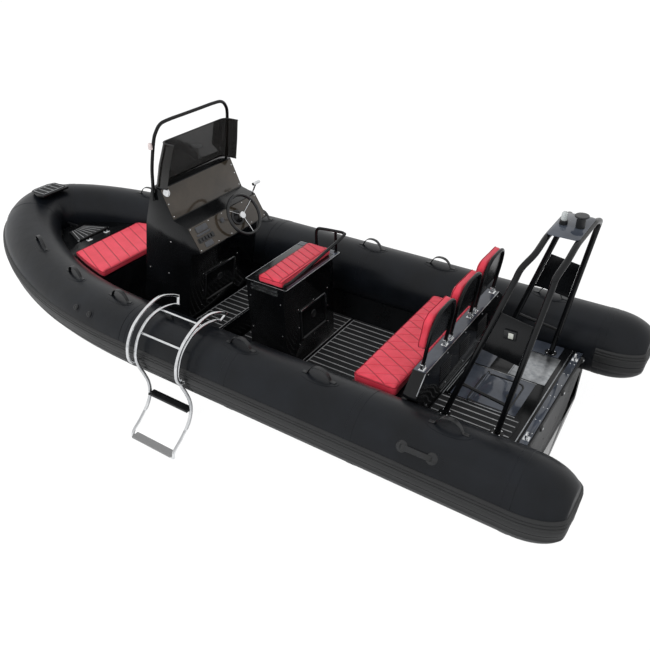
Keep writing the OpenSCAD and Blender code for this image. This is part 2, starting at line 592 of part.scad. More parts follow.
// Point beside a leg in the plane of the port legs, clear of its tube
function panel_pt(x0, x1, z, dir) = let (p = leg_pt(x0, x1, 1, z), k = (p[0] - x0) / z)
    [p[0] + dir * (arch_r + seat_gap) * sqrt(1 + k * k), z / cos(arch_lean)];
module arch_panels() color([0.08, 0.08, 0.09])
    for (side = [0, 1]) mirror([0, side, 0])
        translate([0, arch_foot_y, aft_deck_z]) rotate([arch_lean, 0, 0])
            xz_plate([panel_pt(arch_rear_x, arch_top_rear_x, 505, 1),
                panel_pt(arch_front_x, arch_top_front_x, 539, -1),
                panel_pt(arch_front_x, arch_top_front_x, 807, -1),
                panel_pt(arch_rear_x, arch_top_rear_x, 776, 1)], -panel_t / 2, panel_t / 2);
arch_plate_z = aft_deck_z + arch_h + arch_r + seat_gap;
arch_plate_t = 5;
module arch_plate() color([0.06, 0.06, 0.07])
    translate([arch_top_rear_x - 6, -arch_top_y + 10, arch_plate_z])
        cube([arch_top_front_x - arch_top_rear_x + 12, 2 * arch_top_y - 20, arch_plate_t]);
arch_plate_top = arch_plate_z + arch_plate_t;
module anchor_light() color([0.85, 0.87, 0.88]) translate([150, 0, arch_plate_top]) {
    cylinder(h = 26, r = 24);
    translate([0, 0, 26]) cylinder(h = 34, r = 18);
    translate([0, 0, 60]) sphere(18);
}
module tow_post() color([0.06, 0.06, 0.06]) translate([55, 0, arch_plate_top]) {
    cylinder(h = 62, r = 20);
    translate([0, 0, 62]) cylinder(h = 14, r = 52);
}

// ---- boarding ladder over the port tube ----------------------------------------------
rung_r = 9;
// Heights from the tube's middle and distances outboard of its axis
inner_rail = [[-180, 240], [-120, 278], [0, 300], [120, 278], [212, 216], [262, 148], [296, 50],
    [284, -40], [252, -130], [228, -222], [232, -310], [276, -400], [370, -482], [452, -540], [466, -590]];
outer_rail = [[-220, 292], [-150, 338], [-40, 376], [100, 352], [232, 282], [312, 178], [338, 70],
    [318, 8], [280, 0]];
function on_tube(p, x) = [x, tube_y + p[0] * tube_r / 250, tube_z + p[1] * tube_r / 250];
module ladder_rail(profile, x)
    bent_bar(spline([for (p = profile) on_tube(p, x)], 3), [1, 0, 0], ladder_r, 10);
module ladder_bar(p, half, r) rod(on_tube(p, ladder_x - half), on_tube(p, ladder_x + half), r);
module boarding_ladder() color([0.8, 0.81, 0.83]) {
    for (k = [-1, 1]) {
        ladder_rail(inner_rail, ladder_x + k * ladder_w / 2);
        ladder_rail(outer_rail, ladder_x + k * (ladder_w / 2 + 28));
        for (ends = [[inner_rail[0], outer_rail[0]], [[280, 0], [280, 0]]])
            rod(on_tube(ends[0], ladder_x + k * ladder_w / 2),
                on_tube(ends[1], ladder_x + k * (ladder_w / 2 + 28)), ladder_r);
    }
    ladder_bar([0, 300], ladder_w / 2, rung_r);
    ladder_bar([212, 216], ladder_w / 2, rung_r);
    ladder_bar(inner_rail[14], ladder_w / 2, ladder_r);
}
module ladder_treads() color([0.08, 0.08, 0.08]) {
    // Treads between the rails: one halfway, one on the lowest bar
    tread_w = ladder_w - 2 * ladder_r - 1;
    for (p = [on_tube([232, -318], ladder_x),
            on_tube(inner_rail[14], ladder_x) + [0, -8, ladder_r + seat_gap]])
        translate(p + [-tread_w / 2, -31, 0]) cube([tread_w, 62, 18]);
    // Rubber pads on the tube under the top bar
    for (k = [-1, 1]) let (top = on_tube([0, 300], 0)[2] - rung_r - seat_gap)
        translate([ladder_x + k * 120 - 30, tube_y - 12, tube_z + tube_r + seat_gap])
            cube([60, 24, top - tube_z - tube_r - seat_gap]);
}

// ---- tube fittings -------------------------------------------------------------------
handle_xs = [365, 1270, 1915];        // on the straight tubes
handle_ss = [0.066, 0.25, 0.46];      // along the bow curve
// How much the rising crown of the bow lifts a handle's two feet
function crown_sag(x) = max(0, (axis_z(x + 88) + axis_z(x - 88)) / 2 - axis_z(x)) + 0.4;
module half_moon() rotate([90, 0, 0]) rotate_extrude(angle = 180)
    translate([72, 0]) square([16, 26], center = true);
module grab_handles() color([0.06, 0.06, 0.06])
    for (side = [0, 1]) mirror([0, side, 0]) {
        for (x = handle_xs) translate([x, tube_y, tube_z + tube_r + seat_gap]) half_moon();
        for (s = handle_ss) let (along = unit(axis_pt(s + 0.01) - axis_pt(s - 0.01)))
            translate(beside(s, 0, tube_r + seat_gap + crown_sag(axis_pt(s)[0])))
                rotate([0, -asin(along[2]), atan2(along[1], along[0])]) half_moon();
    }
stern_eye_y = 480;
stern_eye_z = 27;                     // eye's middle above the transom
module stern_eyes() color([0.75, 0.76, 0.78])
    for (k = [-1, 1]) translate([transom_t / 2, k * stern_eye_y, transom_z]) {
        translate([-transom_t / 2 + 2, -22, 0]) cube([transom_t - 4, 44, 4]);
        translate([0, 0, stern_eye_z]) rotate([0, 90, 0]) difference() {
            cylinder(h = 10, r = 25, center = true);
            cylinder(h = 14, r = 16, center = true);
        }
    }

hull_shell();
transom();
sole();
aft_deck();
aft_hatch_lid();
port_tube();
starboard_tube();
bow_tube();
rub_strakes();
bow_step();
bow_locker();
anchor_locker_lid();
bow_cleat();
bow_seat_cushion();
console_body();
console_door();
foot_step();
helm_bezel();
steering_wheel();
throttle_control();
nav_light();
windscreen();
windscreen_rail();
helm_seat_box();
helm_seat_door();
helm_seat_cushion();
helm_seat_rail();
rear_seat_box();
rear_seat_cushion();
backrest_clevises();
backrest_frame(1);  // port_backrest_frame
backrest_frame(0);  // centre_backrest_frame
backrest_frame(-1);  // starboard_backrest_frame
backrest_pad(1);  // port_backrest_pad
backrest_pad(0);  // centre_backrest_pad
backrest_pad(-1);  // starboard_backrest_pad
arch_frame();
arch_panels();
arch_plate();
anchor_light();
tow_post();
boarding_ladder();
ladder_treads();
grab_handles();
stern_eyes();
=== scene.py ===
"""Rigid inflatable boat: the finish of every surface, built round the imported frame."""
import math

import bmesh
import bpy
from mathutils import Matrix, Vector


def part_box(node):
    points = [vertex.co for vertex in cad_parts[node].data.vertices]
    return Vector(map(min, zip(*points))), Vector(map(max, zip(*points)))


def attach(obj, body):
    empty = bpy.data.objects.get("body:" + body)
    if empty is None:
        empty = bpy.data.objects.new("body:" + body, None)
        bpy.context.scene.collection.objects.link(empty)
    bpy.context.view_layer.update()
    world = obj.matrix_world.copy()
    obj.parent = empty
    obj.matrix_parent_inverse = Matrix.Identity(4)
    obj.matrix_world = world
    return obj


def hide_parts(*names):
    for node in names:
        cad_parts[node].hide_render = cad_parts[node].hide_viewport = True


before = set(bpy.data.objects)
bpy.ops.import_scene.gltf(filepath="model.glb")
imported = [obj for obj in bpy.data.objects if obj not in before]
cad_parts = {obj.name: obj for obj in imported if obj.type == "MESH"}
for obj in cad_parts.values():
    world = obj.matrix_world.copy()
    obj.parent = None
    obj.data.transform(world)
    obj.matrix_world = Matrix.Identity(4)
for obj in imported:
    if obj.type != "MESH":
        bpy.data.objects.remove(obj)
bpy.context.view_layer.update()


# ---- Buoyancy tubes ---------------------------------------------------------------------
# Lengths of black coated fabric, half a metre across, glued edge over edge into one U with
# tapered tails. A glued tape covers each cross joint, and the whole is blown up tight.
MM = 0.001                      # every shape is drawn in millimetres and finished in metres


def corners(node):
    """Lowest and highest corner of a frame node, in millimetres."""
    return [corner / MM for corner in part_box(node)]


def linear(colour):
    """Linear RGBA of an sRGB hex colour."""
    parts = [int(colour[i:i + 2], 16) / 255 for i in (1, 3, 5)]
    return tuple(p / 12.92 if p <= 0.04045 else ((p + 0.055) / 1.055) ** 2.4 for p in parts) + (1,)


def add(tree, kind, inputs=(), **settings):
    """Adds a shader node: settings are its own properties, inputs the values or links of its sockets."""
    node = tree.nodes.new("ShaderNode" + kind)
    for key, value in settings.items():
        setattr(node, key, value)
    for key, value in dict(inputs).items():
        if isinstance(value, bpy.types.NodeSocket):
            tree.links.new(value, node.inputs[key])
        else:
            node.inputs[key].default_value = value
    return node


def surface(name, colours, size, rough, *grains, **sockets):
    """A finish that drifts between two colours and two roughnesses in soft patches of a size in
    millimetres. Each grain of its bump is a size and a height in millimetres."""
    finish = bpy.data.materials.new(name)
    finish.use_nodes = True
    tree = finish.node_tree
    shader = tree.nodes["Principled BSDF"]
    for key, value in sockets.items():
        shader.inputs[key.replace("_", " ")].default_value = value
    place = add(tree, "TexCoord").outputs["Object"]
    patches = add(tree, "TexNoise", {"Vector": place, "Scale": 1 / (size * MM), "Detail": 5,
                                     "Roughness": 0.6})
    ramp = add(tree, "ValToRGB", {"Fac": patches.outputs["Fac"]})
    for stop, position, colour in zip(ramp.color_ramp.elements, (0.35, 0.68), colours):
        stop.position, stop.color = position, linear(colour)
    spread = add(tree, "MapRange", {"Value": patches.outputs["Fac"], "From Min": 0.3, "From Max": 0.7,
                                    "To Min": rough[0], "To Max": rough[1]})
    tree.links.new(ramp.outputs["Color"], shader.inputs["Base Color"])
    tree.links.new(spread.outputs["Result"], shader.inputs["Roughness"])
    under = shader.inputs["Normal"]
    for grain_size, height in reversed(grains):
        grain = add(tree, "TexNoise", {"Vector": place, "Scale": 1 / (grain_size * MM), "Detail": 2})
        bump = add(tree, "Bump", {"Height": grain.outputs["Fac"], "Distance": height * MM, "Strength": 1.0})
        tree.links.new(bump.outputs["Normal"], under)
        under = bump.inputs["Normal"]
    return finish


def outline(bm, points):
    """A closed ring of edges through points in the XY plane."""
    verts = [bm.verts.new((x, y, 0)) for x, y in points]
    return [bm.edges.new(pair) for pair in zip(verts, verts[1:] + verts[:1])]


def circle(bm, radius, sides):
    """A ring of edges round the origin of the XY plane."""
    made = bmesh.ops.create_circle(bm, cap_ends=False, segments=sides, radius=radius)
    return list(dict.fromkeys(edge for vert in made["verts"] for edge in vert.link_edges))


def smooth(faces):
    """Shades faces as one curved surface."""
    for face in faces:
        face.smooth = True


def sweep(bm, ring, stations, closed=False):
    """Carries a ring of edges through stations, which are matrices, and closes its ends."""
    verts = list(dict.fromkeys(vert for edge in ring for vert in edge.verts))
    bmesh.ops.transform(bm, matrix=stations[0], verts=verts)
    first = ring
    if not closed:
        bmesh.ops.contextual_create(bm, geom=ring)
    walls = []
    for before, after in zip(stations, stations[1:]):
        grown = bmesh.ops.extrude_edge_only(bm, edges=ring)["geom"]
        walls += [g for g in grown if isinstance(g, bmesh.types.BMFace)]
        verts = [g for g in grown if isinstance(g, bmesh.types.BMVert)]
        new = set(verts)
        ring = [g for g in grown if isinstance(g, bmesh.types.BMEdge) and new.issuperset(g.verts)]
        bmesh.ops.transform(bm, matrix=after @ before.inverted(), verts=verts)
    if closed:
        walls += bmesh.ops.bridge_loops(bm, edges=first + ring)["faces"]
    else:
        bmesh.ops.contextual_create(bm, geom=ring)
    smooth(walls)


def piece(name, bm, finish, body="boat", replaces=(), sharp=35):
    """Turns a bmesh in millimetres into a piece of the boat, sharp past an angle, riding on a body."""
    bmesh.ops.recalc_face_normals(bm, faces=bm.faces)
    bmesh.ops.scale(bm, vec=(MM, MM, MM), verts=bm.verts)
    mesh = bpy.data.meshes.new(name)
    bm.to_mesh(mesh)
    bm.free()
    mesh.set_sharp_from_angle(angle=math.radians(sharp))
    mesh.materials.append(finish)
    made = bpy.data.objects.new(name, mesh)
    bpy.context.scene.collection.objects.link(made)
    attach(made, body)
    if replaces:
        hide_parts(*replaces)
    return made


port_low, port_high = corners("port_tube")
bow_high = corners("bow_tube")[1]
TUBE_R = (port_high.z - port_low.z) / 2
AXIS_Y = port_high.y - TUBE_R
AXIS_Z = port_high.z - TUBE_R
BOW_X = port_high.x
BOW_LENGTH = bow_high.x - TUBE_R - BOW_X
BOW_RISE = bow_high.z - TUBE_R - AXIS_Z
BOW_POWER = 1.88                # plan of the bow: 2 would be an ellipse, less is more pointed
RISE_X = BOW_X + 0.35 * BOW_LENGTH      # the tube climbs from here to the stem
TAIL_SEAM = -115                # the tails taper aft of this seam
TAIL_LENGTH = TAIL_SEAM - port_low.x


def axis_xy(s):
    """Plan position of the tube axis: s runs from 0 to 2 round the bow, and in metres aft of it."""
    if s < 0 or s > 2:
        aft = -s if s < 0 else s - 2
        return BOW_X - aft / MM, AXIS_Y if s < 0 else -AXIS_Y
    turn = math.radians(90 * min(s, 2 - s))
    side = -1 if s > 1 else 1
    return (BOW_X + BOW_LENGTH * math.sin(turn) ** (2 / BOW_POWER),
            side * AXIS_Y * max(0, math.cos(turn)) ** (2 / BOW_POWER))


def at(x, y, z):
    """A move to a point."""
    return Matrix.Translation((x, y, z))


def turned_to(x, y, z):
    """A turn that brings the three axes to these directions."""
    return Matrix((x, y, z)).transposed().to_4x4()


def axis_station(s, lift=0.0):
    """Frame on the axis: X outboard, Y up, Z along, scaled by the tube's radius plus a lift."""
    x, y = axis_xy(s)
    near, far = axis_xy(s - 0.003), axis_xy(s + 0.003)
    along = Vector((far[0] - near[0], far[1] - near[1], 0)).normalized()
    out = Vector((-along.y, along.x, 0))
    rise = min(1, max(0, (x - RISE_X) / (BOW_X + BOW_LENGTH - RISE_X))) ** 1.6
    size = TUBE_R + lift
    return (at(x, y, AXIS_Z + BOW_RISE * rise) @ turned_to(out, (0, 0, 1), along)
            @ Matrix.Diagonal((size, size, 1, 1)))


def pace(s):
    """How far s moves for one millimetre along the axis."""
    return 0.01 / (axis_station(s + 0.005).translation - axis_station(s - 0.005).translation).length


def taped(seams, marks):
    """Stations through marks, with a band of tape standing proud at each seam."""
    half, step, lift = 25, 1.5, 1.8
    rows = [(s, 0) for s in marks if all(abs(s - seam) > (half + 4 * step) * pace(seam) for seam in seams)]
    for seam in seams:
        rows += [(seam + offset * pace(seam), height) for offset, height in
                 ((-half - step, 0), (-half, lift), (half, lift), (half + step, 0))]
    return [axis_station(s, height) for s, height in sorted(rows)]


def tail_rings():
    """Share of the tube's radius, and of the tail's length, from the tail's seam to its blunt tip."""
    rings = [(0.42 + 0.58 * math.cos(math.radians(a)), math.sin(math.radians(a)) / math.sin(math.radians(75)))
             for a in range(0, 71, 5)]
    last, reach = rings[-1]
    domes = [math.radians(a) for a in (20, 40, 58, 74, 87)]
    return rings + [(last * math.cos(a), reach + (1 - reach) * math.sin(a)) for a in domes]


# Calendered coat on woven polyester: satin black with a grey bloom, slow ripples and a fine grain,
# drawn at 4 mm, coarser than the real weave, so that it shows.
fabric = surface("coated_tube_fabric", ("#0b0d10", "#14171c"), 420, (0.3, 0.4), (170, 2.5), (4, 0.07),
                 IOR=1.5, Specular_IOR_Level=0.22)
bm = bmesh.new()
sweep(bm, circle(bm, 1, 80), taped((0.81, 1.2), [i / 60 for i in range(121)]))
piece("bow_tube_skin", bm, fabric, replaces=["bow_tube"])
for side, mirror in (("port", 1), ("starboard", -1)):
    length = (BOW_X - TAIL_SEAM) * MM
    stations = [axis_station(-length - TAIL_LENGTH * MM * reach) @ Matrix.Diagonal((scale, scale, 1, 1))
                for scale, reach in tail_rings()[:0:-1]]
    stations += taped((0.03 - length, -0.66 * length, -0.33 * length, -0.03),
                      [-length * i / 24 for i in range(25)])
    bm = bmesh.new()
    sweep(bm, circle(bm, 1, 80), stations)
    bmesh.ops.transform(bm, matrix=Matrix.Diagonal((1, mirror, 1, 1)), verts=bm.verts)
    piece(side + "_tube_skin", bm, fabric, replaces=[side + "_tube"])


# ---- Rubbing strakes --------------------------------------------------------------------
# Extruded black rubber glued along the widest part of the tubes: three round ribs over a
# broad flat band, carried round both tails, with a thinner scuff sheet glued below it.
def spun(degrees, axis):
    """A turn about an axis."""
    return Matrix.Rotation(math.radians(degrees), 4, axis)


def skin_line(height):
    """Plan points of the tubes' skin at a height above the axis, from one tail round the bow to the other."""
    inboard = [(scale * TUBE_R, TAIL_SEAM - TAIL_LENGTH * reach) for scale, reach in tail_rings()]
    inboard = [(x, math.sqrt(radius ** 2 - height ** 2)) for radius, x in inboard
               if radius > 1.15 * abs(height)]
    tip = inboard[-1][0] - 3
    tail = [(-70, inboard[0][1])] + inboard
    half = [(x, AXIS_Y - y) for x, y in tail] + [(tip, AXIS_Y)]
    half += [(x, AXIS_Y + y) for x, y in reversed(inboard)]
    width = math.sqrt(TUBE_R ** 2 - height ** 2)
    half += [(x, AXIS_Y + width) for x in (300, 1200, 2100, 2750)]
    half = [Vector((x, y, AXIS_Z + height)) for x, y in half]
    bow = [axis_station(i / 40) @ Vector((width / TUBE_R, height / TUBE_R, 0)) for i in range(81)]
    return half + bow + [Vector((p.x, -p.y, p.z)) for p in reversed(half)]


def strip_stations(angle):
    """Stations for a strip laid on the tubes at an angle above their middle: X out of the skin, Y up it."""
    path = skin_line(TUBE_R * math.sin(math.radians(angle)))
    made = []
    for i, point in enumerate(path):
        along = path[min(i + 1, len(path) - 1)] - path[max(i - 1, 0)]
        along = Vector((along.x, along.y, 0)).normalized()
        out = Vector((-along.y, along.x, 0))
        made.append(at(*point) @ turned_to(out, (0, 0, 1), along) @ spun(angle, "Z"))
    return made


def strip_ring(bm, face):
    """Closed section of a strip from its face, pairs of thickness and height, bent to the tube's skin."""
    heights = [height for out, height in face]
    back = [(-6, heights[-1] - (heights[-1] - heights[0]) * k / 6) for k in range(7)]
    return outline(bm, [(out - height ** 2 / (2 * TUBE_R), height) for out, height in face + back])


# Extruded EPDM: duller than the fabric, matt grain, paler where it has rubbed on quays.
rubber = surface("extruded_rubber", ("#0c0d0e", "#191a1b"), 200, (0.4, 0.55), (2.5, 0.1), IOR=1.5)
ribs = [(6.5 + 7 * math.cos(math.radians(a)), middle + 8 * math.sin(math.radians(a)))
        for middle in (-2, 18, 38) for a in range(-80, 81, 32)]
bm = bmesh.new()
strake = [(1, -52), (8, -50), (9, -46), (9, -14)] + ribs + [(6, 48), (1, 50)]
sweep(bm, strip_ring(bm, strake), strip_stations(6))
piece("ribbed_strake", bm, rubber, replaces=["rub_strakes"], sharp=50)
bm = bmesh.new()
scuff = [(1, -34), (3.5, -32), (3.5, -24), (6, -22), (6, -14), (3.5, -12), (3.5, 30), (1, 32)]
sweep(bm, strip_ring(bm, scuff), strip_stations(-15))
piece("scuff_sheet", bm, rubber, sharp=50)


# ---- Handles, valves and carry handles --------------------------------------------------
# Black moulded plastic: half-moon grab straps on oval fabric patches along the crown, two
# valves on each side of the bow, and a lifting handle low on each quarter.
def moulded_plastic(name, colours):
    """Moulded polypropylene: satin, with a spark-eroded texture."""
    return surface(name, colours, 60, (0.3, 0.42), (1.5, 0.06), IOR=1.49)


def rounded_box(width, height, radius, steps=5, centre=(0, 0)):
    """Points of a rectangle round a centre, with rounded corners."""
    points = []
    for turn in range(4):
        x = centre[0] + (width / 2 - radius) * (1, -1, -1, 1)[turn]
        y = centre[1] + (height / 2 - radius) * (1, 1, -1, -1)[turn]
        for k in range(steps + 1):
            angle = math.radians(90 * (turn + k / steps))
            points.append((x + radius * math.cos(angle), y + radius * math.sin(angle)))
    return points


def curve(points, steps, closed=False):
    """A smooth line through points."""
    points = [Vector(p) for p in points]
    last = len(points) - 1
    pick = (lambda i: points[i % len(points)]) if closed else (lambda i: points[max(0, min(last, i))])
    made = []
    for i in range(len(points) if closed else last):
        a, b, c, d = pick(i - 1), pick(i), pick(i + 1), pick(i + 2)
        for t in (k / steps for k in range(steps)):
            made.append(0.5 * (2 * b + (c - a) * t + (2 * a - 5 * b + 4 * c - d) * t * t
                               + (3 * b - a - 3 * c + d) * t ** 3))
    return made if closed else made + [points[-1]]


def frames(path, across, closed=False):
    """Stations along a path: Z along it, Y as near as can be to across, carried on without twist."""
    made, count = [], len(path)
    path, across = [Vector(point) for point in path], Vector(across)
    for i, point in enumerate(path):
        after = path[(i + 1) % count] if closed else path[min(i + 1, count - 1)]
        before = path[i - 1] if closed else path[max(i - 1, 0)]
        along = (after - before).normalized()
        across = (across - across.dot(along) * along).normalized()
        made.append(at(*point) @ turned_to(across.cross(along), across, along))
    return made


def on_skin(s, angle, lift=0.0):
    """Point on the tube's skin at an angle above its outboard middle, with a lift off it."""
    turn = math.radians(angle)
    size = 1 + lift / TUBE_R
    return axis_station(s) @ Vector((size * math.cos(turn), size * math.sin(turn), 0))


def join(bm, part, place=Matrix()):
    """Adds one bmesh to another, placed."""
    bmesh.ops.transform(part, matrix=place, verts=part.verts)
    mesh = bpy.data.meshes.new("part")
    part.to_mesh(mesh)
    part.free()
    bm.from_mesh(mesh)
    bpy.data.meshes.remove(mesh)


def wrap(bm, part, s, angle):
    """Lays flat work on the tube, X along it, Y up its skin and Z out of it, and adds it to bm."""
    step = pace(s)
    for vert in part.verts:
        x, y, z = vert.co
        vert.co = on_skin(s + x * step, angle + math.degrees(y / TUBE_R), z)
    join(bm, part)


def thicken(part, rise):
    """Pulls every face of flat work out along Z, and closes the sides."""
    grown = bmesh.ops.extrude_face_region(part, geom=part.faces[:])["geom"]
    verts = [g for g in grown if isinstance(g, bmesh.types.BMVert)]
    bmesh.ops.translate(part, vec=(0, 0, rise), verts=verts)


def patch(bm, s, angle, length, width, thick=1.6):
    """An oval patch glued flat to the tube."""
    part = bmesh.new()
    bmesh.ops.create_grid(part, x_segments=24, y_segments=10, size=1)
    for vert in part.verts:
        x, y = vert.co.xy
        vert.co = (x * math.sqrt(1 - y * y / 2) * length / 2, y * math.sqrt(1 - x * x / 2) * width / 2, thick)
    thicken(part, -thick - 2)
    smooth(part.faces)
    wrap(bm, part, s, angle)


def strap(bm, s, angle, half, section):
    """A moulded strap over the skin, through half a list of (along, lift) points and its mirror."""
    points = half + [(-x, z) for x, z in reversed(half[:-1])]
    path = curve([(x, 0, z) for x, z in points], 4)
    part = bmesh.new()
    sweep(part, outline(part, section), frames(path, (0, 1, 0)))
    wrap(bm, part, s, angle)


def turned(bm, profile, place=Matrix(), steps=32):
    """A turned shape: profile pairs of radius and height, spun about Z and then placed."""
    part = bmesh.new()
    verts = [part.verts.new((radius, 0, height)) for radius, height in profile]
    edges = [part.edges.new(pair) for pair in zip(verts, verts[1:])]
    bmesh.ops.spin(part, geom=verts + edges, axis=(0, 0, 1), cent=(0, 0, 0), angle=math.tau, steps=steps,
                   use_merge=True)
    bmesh.ops.remove_doubles(part, verts=part.verts, dist=0.001)
    smooth(part.faces)
    join(bm, part, place)


plastic = moulded_plastic("moulded_polypropylene", ("#0b0c0d", "#15171a"))
grip_places = [(x - BOW_X) * MM for x in (365, 1270, 1915)] + [0.066, 0.25, 0.46]
grip_places += [2 - s for s in grip_places]
straps, fittings, patches = bmesh.new(), bmesh.new(), bmesh.new()
for s in grip_places:
    strap(straps, s, 90, [(-126, 3), (-104, 3), (-88, 8), (-79, 24), (-66, 45), (-38, 67), (0, 74)],
          rounded_box(6, 24, 2.5, 3))
    patch(patches, s, 90, 300, 120)
for side in (0.161, 2 - 0.161, 0.1115, 2 - 0.1115):
    patch(patches, side, 38, 80, 80)
    cap = bmesh.new()
    turned(cap, [(0, 8), (9, 8), (11, 5), (15, 6), (18, 10), (22, 9), (24, 3), (24, 0)], steps=28)
    wrap(fittings, cap, side, 38)
for side in (-2.45, 4.45):
    patch(patches, side, 40, 330, 120)
    strap(fittings, side, 40, [(-122, 3), (-104, 8), (-90, 24), (-70, 31), (0, 31)],
          rounded_box(10, 30, 4.5, 4))
    for end in (-96, 96):
        cap = bmesh.new()
        turned(cap, [(0, 17), (14, 16), (27, 10), (36, 2), (36, 0)], at(end, 0, 0))
        wrap(fittings, cap, side, 40)
piece("grab_straps", straps, plastic, replaces=["grab_handles"])
piece("valves_and_lifting_handles", fittings, plastic)
piece("fabric_patches", patches, fabric)


# ---- Bow step ---------------------------------------------------------------------------
# A tread plate of black powder-coated aluminium on three feet over the crown of the bow,
# topped with dark foam whose routed grooves show a pale layer as a ladder of lines.
def powder_coat(name, colours, rough):
    """Powder-coated aluminium: a fused gloss film with slight orange peel, drawn at 6 mm."""
    return surface(name, colours, 300, rough, (6, 0.05), IOR=1.5, Specular_IOR_Level=0.25)


def matt_sheet(name, colours):
    """Closed-cell EVA sheet, or the vinyl wrapped on piping: matt, with a brushed tooth."""
    return surface(name, colours, 90, (0.7, 0.85), (2.5, 0.25), IOR=1.45)


def plate(bm, loops, thick, place=Matrix()):
    """A flat board through loops of points, the first its edge and the rest its holes, then placed."""
    part = bmesh.new()
    edges = [edge for points in loops for edge in outline(part, points)]
    bmesh.ops.triangle_fill(part, use_beauty=True, use_dissolve=False, edges=edges)
    thicken(part, thick)
    join(bm, part, place)


def block(bm, low, high, place=Matrix()):
    """A box between two corners, then placed."""
    low, high = Vector(low), Vector(high)
    bmesh.ops.create_cube(bm, size=1, matrix=place @ Matrix.Translation((low + high) / 2)
                          @ Matrix.Diagonal((*(high - low), 1)))


def soften(bm, width, segments=2, shortest=0):
    """Rounds over every sharp edge, or only those longer than a length."""
    bmesh.ops.dissolve_limit(bm, angle_limit=math.radians(1), verts=bm.verts, edges=bm.edges)
    edges = [edge for edge in bm.edges if len(edge.link_faces) == 2 and edge.calc_length() > shortest
             and edge.calc_face_angle() > math.radians(28)]
    made = bmesh.ops.bevel(bm, geom=edges, offset=width, segments=segments, profile=0.5, affect="EDGES",
                           clamp_overlap=True, material=-1)
    smooth(made["faces"])


def eased(node, width, shortest=35):
    """A copy of a frame node, in millimetres, with its long edges rounded over."""
    bm = bmesh.new()
    bm.from_mesh(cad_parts[node].data)
    bmesh.ops.scale(bm, vec=(1 / MM, 1 / MM, 1 / MM), verts=bm.verts)
    bmesh.ops.remove_doubles(bm, verts=bm.verts, dist=0.02)
    soften(bm, width, 2, shortest)
    return bm


def line(bm, a, b, width, thick=1.2, place=Matrix()):
    """A flat strip between two points of the XY plane, at the height of the first."""
    a, b = Vector(a), Vector(b)
    span = b - a
    turn = Matrix.Rotation(math.atan2(span.y, span.x), 4, "Z")
    bmesh.ops.create_cube(bm, size=1, matrix=place @ Matrix.Translation((a + b) / 2) @ turn
                          @ Matrix.Diagonal((span.xy.length, width, thick, 1)))


gloss = powder_coat("gloss_powder_coat", ("#08090a", "#0e0f11"), (0.14, 0.22))
dark_eva = matt_sheet("dark_eva_foam", ("#111213", "#1b1c1e"))
pale_eva = matt_sheet("pale_eva_groove", ("#8f9193", "#b4b5b6"))
piece("bow_tread_plate", eased("bow_step", 3), gloss, replaces=["bow_step"])
step_low, step_high = corners("bow_step")
top = step_high.z
bm = bmesh.new()
plate(bm, [rounded_box(190, 272, 30, centre=(step_low.x + 112, 0))], 3, at(0, 0, top))
piece("bow_tread_foam", bm, dark_eva)
bm = bmesh.new()
for x in (step_low.x + 30, step_low.x + 194):
    line(bm, (x, -112, top + 3), (x, 112, top + 3), 6)
for y in (-112, -56, 0, 56, 112):
    line(bm, (step_low.x + 30, y, top + 3), (step_low.x + 194, y, top + 3), 6)
piece("bow_tread_lines", bm, pale_eva)


# ---- Hull, transom and stern eyes -------------------------------------------------------
# A deep-V hull welded from aluminium plate and sprayed black, closed aft by a thick transom
# with a polished gel coat cap, its blue-grey a painted sky reflection, a rubber fender along its
# edge and two polished mooring eyes.
def polished_steel(name, colours, rough):
    """Polished stainless steel: nearly a mirror, with a fine hazy grain."""
    return surface(name, colours, 40, rough, (9, 0.03), Metallic=1.0)


def dress(node, finish):
    """Gives a kept frame node its material."""
    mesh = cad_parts[node].data
    mesh.materials.clear()
    mesh.materials.append(finish)


def bolts(bm, places, radius, height=None):
    """Domed bolt heads on stations whose Z points out of the surface."""
    height = height or radius * 0.6
    for place in places:
        dome = [(radius, -1), (radius, height * 0.35), (radius * 0.75, height * 0.8),
                (radius * 0.35, height), (0, height)]
        turned(bm, dome, place, steps=14)


# Gel coat polished to a mirror, with faint scuffs; its blue-grey colour is a painted reflection of the sky.
gloss_painted_sky_grey = surface("gloss_with_painted_sky_reflection", ("#3b404a", "#4b515c"), 160, (0.05, 0.16), (40, 0.12), IOR=1.5)
hull_paint = powder_coat("sprayed_hull_paint", ("#0a0b0c", "#131416"), (0.22, 0.34))
steel = polished_steel("polished_stainless", ("#c9cbcd", "#e2e3e4"), (0.07, 0.16))
alloy = polished_steel("brushed_alloy_trim", ("#8e9194", "#b9bbbd"), (0.28, 0.42))
bm = eased("hull_shell", 6, 200)
smooth(bm.faces)
piece("hull_plating", bm, hull_paint, replaces=["hull_shell"], sharp=20)
piece("transom_board", eased("transom", 5), gloss, replaces=["transom"])
tran_high = corners("transom")[1]
bm = bmesh.new()
plate(bm, [rounded_box(51, 1076, 3, centre=(22.5, 0))], 2.5, at(0, 0, tran_high.z))
for side in (-1, 1):
    block(bm, (0, -32, 0), (45, 32, 2), at(0, side * 584, tran_high.z - 12)
          @ Matrix.Rotation(side * -0.235, 4, "X"))
soften(bm, 0.8)
piece("transom_cap", bm, gloss_painted_sky_grey)
bm = bmesh.new()
sweep(bm, outline(bm, rounded_box(16, 30, 6, 4)),
      frames([(-8, y, tran_high.z - 22) for y in (-530, -200, 200, 530)], (0, 0, 1)))
for y in (-536, -100, 318, 536):
    turned(bm, [(0, 12), (17, 12), (23, 6), (23, -8), (0, -8)],
           at(-14, y, tran_high.z - 20) @ spun(-90, "Y"), 24)
piece("transom_fender", bm, rubber)
bm = bmesh.new()
bolts(bm, [at(-26, y, tran_high.z - 20) @ spun(-90, "Y") for y in (-536, -100, 318, 536)], 9)
bolts(bm, [at(x, y, tran_high.z + 2.5) for y in range(-420, 421, 140) for x in (9, 36)], 4.5)
piece("transom_bolts", bm, steel)
dress("stern_eyes", steel)


